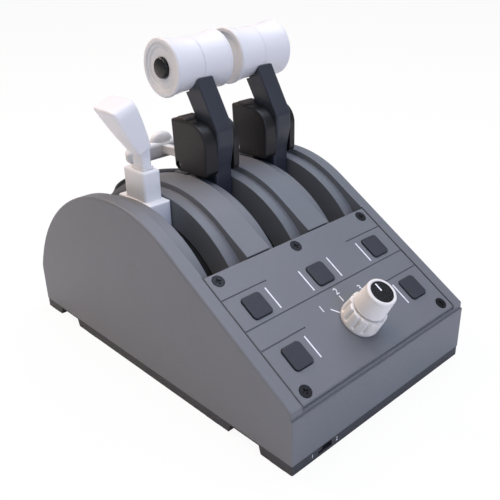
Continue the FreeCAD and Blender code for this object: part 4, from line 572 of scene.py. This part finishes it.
class QUADRANT_OT_marks(bpy.types.Operator):
    """Prints the white lines, ticks and numbers on the panel and the front"""
    bl_idname = "quadrant.marks"
    bl_label = "Printed marks"

    def execute(self, context):
        half = size("bar_wide") / 2
        for n, (x, low, high) in enumerate(BARS):
            line = box_outline(x - half, low, x + half, high, BAR_CORNER)
            printed(f"mark_bar_{n}", line, "housing", PANEL)
        for n, (angle, near, far, x, up) in enumerate(PLACES):
            tick = box_outline(-TICK_HALF, near, TICK_HALF, far, TICK_CORNER)
            printed(f"mark_tick_{n}", tick, "housing",
                    ON_DIAL @ Matrix.Rotation(-math.radians(angle), 4, "Z"))
            lettering(f"mark_number_{n + 1}", str(n + 1), size("digit"), "housing",
                      PANEL @ Matrix.Translation((x, up, LETTER_OUT)))
        printed("mark_pointer", box_outline(*POINTER), "selector_push",
                PANEL @ Matrix.Translation((0, DIAL, CAP_TOP)), POINTER_PROUD)
        front = Matrix.Translation((0, FRONT, SWITCH_UP)) @ Matrix.Rotation(math.pi / 2, 4, "X")
        for n, x in enumerate(SWITCH_X):
            lettering(f"mark_switch_{n + 1}", str(n + 1), SWITCH_DIGIT, "housing",
                      front @ Matrix.Translation((x, 0, 0)))
        return {"FINISHED"}


# ---------------------------------------------------------------- cable


# from the plug down to the ground and up to the coil, and from the coil to the far plug inside it
LEAD = [(35, 154.2, 14.25), (35.5, 167.2, 13.65), (39, 180.2, 6.0), (46, 194.2, 2.05), (57, 210.2, 2.07),
        (70.25, 224, 2.05)]
TAIL = [(173.75, 230, 2.05), (161.75, 214, 2.25), (141.75, 212, 4.2)]
COIL = (127.0, 238.0)                 # its middle
TURNS, TURN_POINTS = 5, 16
COIL_RADIUS, COIL_DRIFT = 56.6, 8.0   # of the outer turn, and how far the inner one lies further in
COIL_SWAY, COIL_SWAY_RATE = 0.5, 1.7  # how loosely the turns lie, and how fast that changes
COIL_LOW, COIL_HUMP = 2.1, 3.6        # of the strand on the ground, and of the strand that crosses over it


def middle_length(cable):
    """Length of a cable's middle line: the sum of the steps between the points that it is drawn with."""
    bare = cable.copy()
    bare.data = cable.data.copy()
    bare.data.bevel_depth = 0
    line = bpy.data.meshes.new_from_object(bare)
    at = np.array([v.co for v in line.vertices])
    bpy.data.objects.remove(bare)
    return float(np.linalg.norm(np.diff(at, axis=0), axis=1).sum())


class QUADRANT_OT_cable(bpy.types.Operator):
    """Lays the cable: out of the rear, along the ground, round its coil and to the far plug"""
    bl_idname = "quadrant.cable"
    bl_label = "Cable"

    def execute(self, context):
        count = TURN_POINTS * TURNS
        step = np.arange(count)
        # round the coil from its left side, clockwise seen from above, drifting inward and up and down
        angle = math.pi - 2 * math.pi * (step + 0.5) / TURN_POINTS * (TURNS - 0.5) / TURNS
        radius = COIL_RADIUS - COIL_DRIFT * step / count + COIL_SWAY * np.sin(COIL_SWAY_RATE * step)
        height = COIL_LOW + COIL_HUMP * (0.5 - 0.5 * np.cos(math.pi * step / TURN_POINTS))
        ring = np.stack([COIL[0] + radius * np.cos(angle), COIL[1] + radius * np.sin(angle), height], 1)
        points = np.concatenate([LEAD, ring, TAIL])
        curve = bpy.data.curves.new("cable", "CURVE")
        curve.dimensions = "3D"
        spline = curve.splines.new("NURBS")
        spline.points.add(len(points) - 1)
        spline.points.foreach_set("co", np.column_stack([points * MM, np.ones(len(points))]).ravel())
        spline.order_u = 3
        spline.use_endpoint_u = True
        curve.bevel_depth = size("cable") / 2 * MM
        curve.bevel_resolution = 5
        curve.use_fill_caps = True
        curve.materials.append(wear("jacket"))
        cable = bpy.data.objects.new("cable", curve)
        context.scene.collection.objects.link(cable)
        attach(cable, "housing")
        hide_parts("cable_lead", "cable_coil", "cable_tail")
        middle_length(cable)
        size("cable") * MM
        return {"FINISHED"}


# ---------------------------------------------------------------- stage, in metres


FLOOR_REACH = 3
FLOOR_PAPER, FLOOR_WHITE = "#f2f2f2", 0.94  # its colour, and how far the camera sees plain white instead
WORLD_LIGHT, WORLD_SEEN = 0.30, 1.0         # the soft light from all round, and the backdrop's white
# name, place, side of the square lamp, watts, colour
LAMPS = (
    ("overhead", (0.35, 0.0, 1.2), 1.0, 11.0, "#dfe8ff"),
    ("front", (-0.2, -1.1, 0.6), 0.7, 4.5, "#b8ccff"),
    ("left", (-0.45, -0.1, 1.1), 0.5, 3.0, "#fff0e2"),
    ("rear", (-0.25, 0.8, 1.1), 0.4, 8.0, "#ffdcc4"),
)
LAMPS_AIM = (0, 0, 0.08)
CAMERA = (-265.28, -296.54, 251.81)         # its place, in millimetres
AZIMUTH, ELEVATION, ROLL = (math.radians(a) for a in (-43.10, 25.91, -1.27))
LENS, SENSOR, CLIP = 49.85, 36.0, 0.01


class QUADRANT_OT_stage(bpy.types.Operator):
    """Sets the floor, the lamps and the camera"""
    bl_idname = "quadrant.stage"
    bl_label = "Stage"

    def execute(self, context):
        context.scene.view_settings.view_transform = "Standard"
        self.floor(context.scene)
        self.world(context.scene)
        self.lamps(context.scene)
        self.camera(context.scene)
        return {"FINISHED"}

    def floor(self, scene):
        """A sheet of paper that the camera sees nearly white, with the object's shadow on it"""
        far = FLOOR_REACH
        mesh = bpy.data.meshes.new("floor")
        mesh.from_pydata([(-far, -far, 0), (far, -far, 0), (far, far, 0), (-far, far, 0)], [], [(0, 1, 2, 3)])
        floor = bpy.data.objects.new("floor", mesh)
        scene.collection.objects.link(floor)
        white = bpy.data.materials.new("White paper sweep")
        tree = blank(white)
        path = node(tree, "ShaderNodeLightPath")
        paper = node(tree, "ShaderNodeBsdfDiffuse", {"Color": linear(FLOOR_PAPER)})
        bright = node(tree, "ShaderNodeEmission", {"Color": (1, 1, 1, 1), "Strength": 1.0})
        lift = node(tree, "ShaderNodeMath", {"operation": "MULTIPLY", 1: FLOOR_WHITE},
                    {0: (path, "Is Camera Ray")})
        blend = node(tree, "ShaderNodeMixShader", None, {0: (lift, 0), 1: (paper, 0), 2: (bright, 0)})
        node(tree, "ShaderNodeOutputMaterial", None, {"Surface": (blend, 0)})
        mesh.materials.append(white)

    def world(self, scene):
        """Soft light from all round, with a white backdrop for the camera"""
        world = bpy.data.worlds.new("Studio")
        scene.world = world
        tree = blank(world)
        path = node(tree, "ShaderNodeLightPath")
        soft, seen = (node(tree, "ShaderNodeBackground", {"Color": (1, 1, 1, 1), "Strength": strength})
                      for strength in (WORLD_LIGHT, WORLD_SEEN))
        mix = node(tree, "ShaderNodeMixShader", None,
                   {0: (path, "Is Camera Ray"), 1: (soft, 0), 2: (seen, 0)})
        node(tree, "ShaderNodeOutputWorld", None, {"Surface": (mix, 0)})

    def lamps(self, scene):
        """Four square lamps aimed at the object's middle"""
        for name, place, side, power, colour in LAMPS:
            light = bpy.data.lights.new(name, "AREA")
            light.size = side
            light.energy = power
            light.color = linear(colour)[:3]
            lamp = bpy.data.objects.new(name, light)
            lamp.location = place
            aim = Vector(LAMPS_AIM) - Vector(place)
            lamp.rotation_euler = aim.to_track_quat("-Z", "Y").to_euler()
            scene.collection.objects.link(lamp)

    def camera(self, scene):
        """A camera that looks back along its azimuth and elevation and is turned by its roll"""
        back = Vector((math.sin(AZIMUTH) * math.cos(ELEVATION), -math.cos(AZIMUTH) * math.cos(ELEVATION),
                       math.sin(ELEVATION)))
        right = (-back).cross(Vector((0, 0, 1))).normalized()
        up = right.cross(-back)
        x_axis = right * math.cos(ROLL) + up * math.sin(ROLL)
        y_axis = up * math.cos(ROLL) - right * math.sin(ROLL)
        lens = bpy.data.cameras.new("camera")
        lens.lens = LENS
        lens.sensor_width = SENSOR
        lens.clip_start = CLIP
        camera = bpy.data.objects.new("camera", lens)
        turn = Matrix((x_axis, y_axis, back)).transposed().to_4x4()
        camera.matrix_world = Matrix.Translation(Vector(CAMERA) * MM) @ turn
        scene.collection.objects.link(camera)
        scene.camera = camera


class QUADRANT_PT_panel(bpy.types.Panel):
    """Lists the steps that dress the quadrant"""
    bl_label = "Throttle quadrant"
    bl_idname = "QUADRANT_PT_panel"
    bl_space_type = "VIEW_3D"
    bl_region_type = "UI"
    bl_category = "Quadrant"

    def draw(self, context):
        for step in STEPS:
            self.layout.operator(step.bl_idname)
        for group in (context.scene.quadrant_sizes, context.scene.quadrant_colours):
            for key in group.__annotations__:
                self.layout.prop(group, key)


STEPS = (QUADRANT_OT_stage, QUADRANT_OT_cable, QUADRANT_OT_finishes,
         QUADRANT_OT_speed_brake_head, QUADRANT_OT_speed_brake_carrier,
         QUADRANT_OT_reverse_handles, QUADRANT_OT_selector, QUADRANT_OT_marks)
GROUPS = {"quadrant_colours": QuadrantColours, "quadrant_sizes": QuadrantSizes}
CLASSES = (*GROUPS.values(), *STEPS, QUADRANT_PT_panel)


def register():
    """Registers the classes and hangs the colours and sizes on the scene."""
    for kind in CLASSES:
        bpy.utils.register_class(kind)
    for name, group in GROUPS.items():
        setattr(bpy.types.Scene, name, bpy.props.PointerProperty(type=group))


def unregister():
    """Takes back what register did, in the other order."""
    for name in GROUPS:
        delattr(bpy.types.Scene, name)
    for kind in reversed(CLASSES):
        bpy.utils.unregister_class(kind)


def main():
    """Runs every step in order."""
    register()
    for step in STEPS:
        area, name = step.bl_idname.split(".")
        getattr(getattr(bpy.ops, area), name)()


if __name__ == "__main__":
    main()
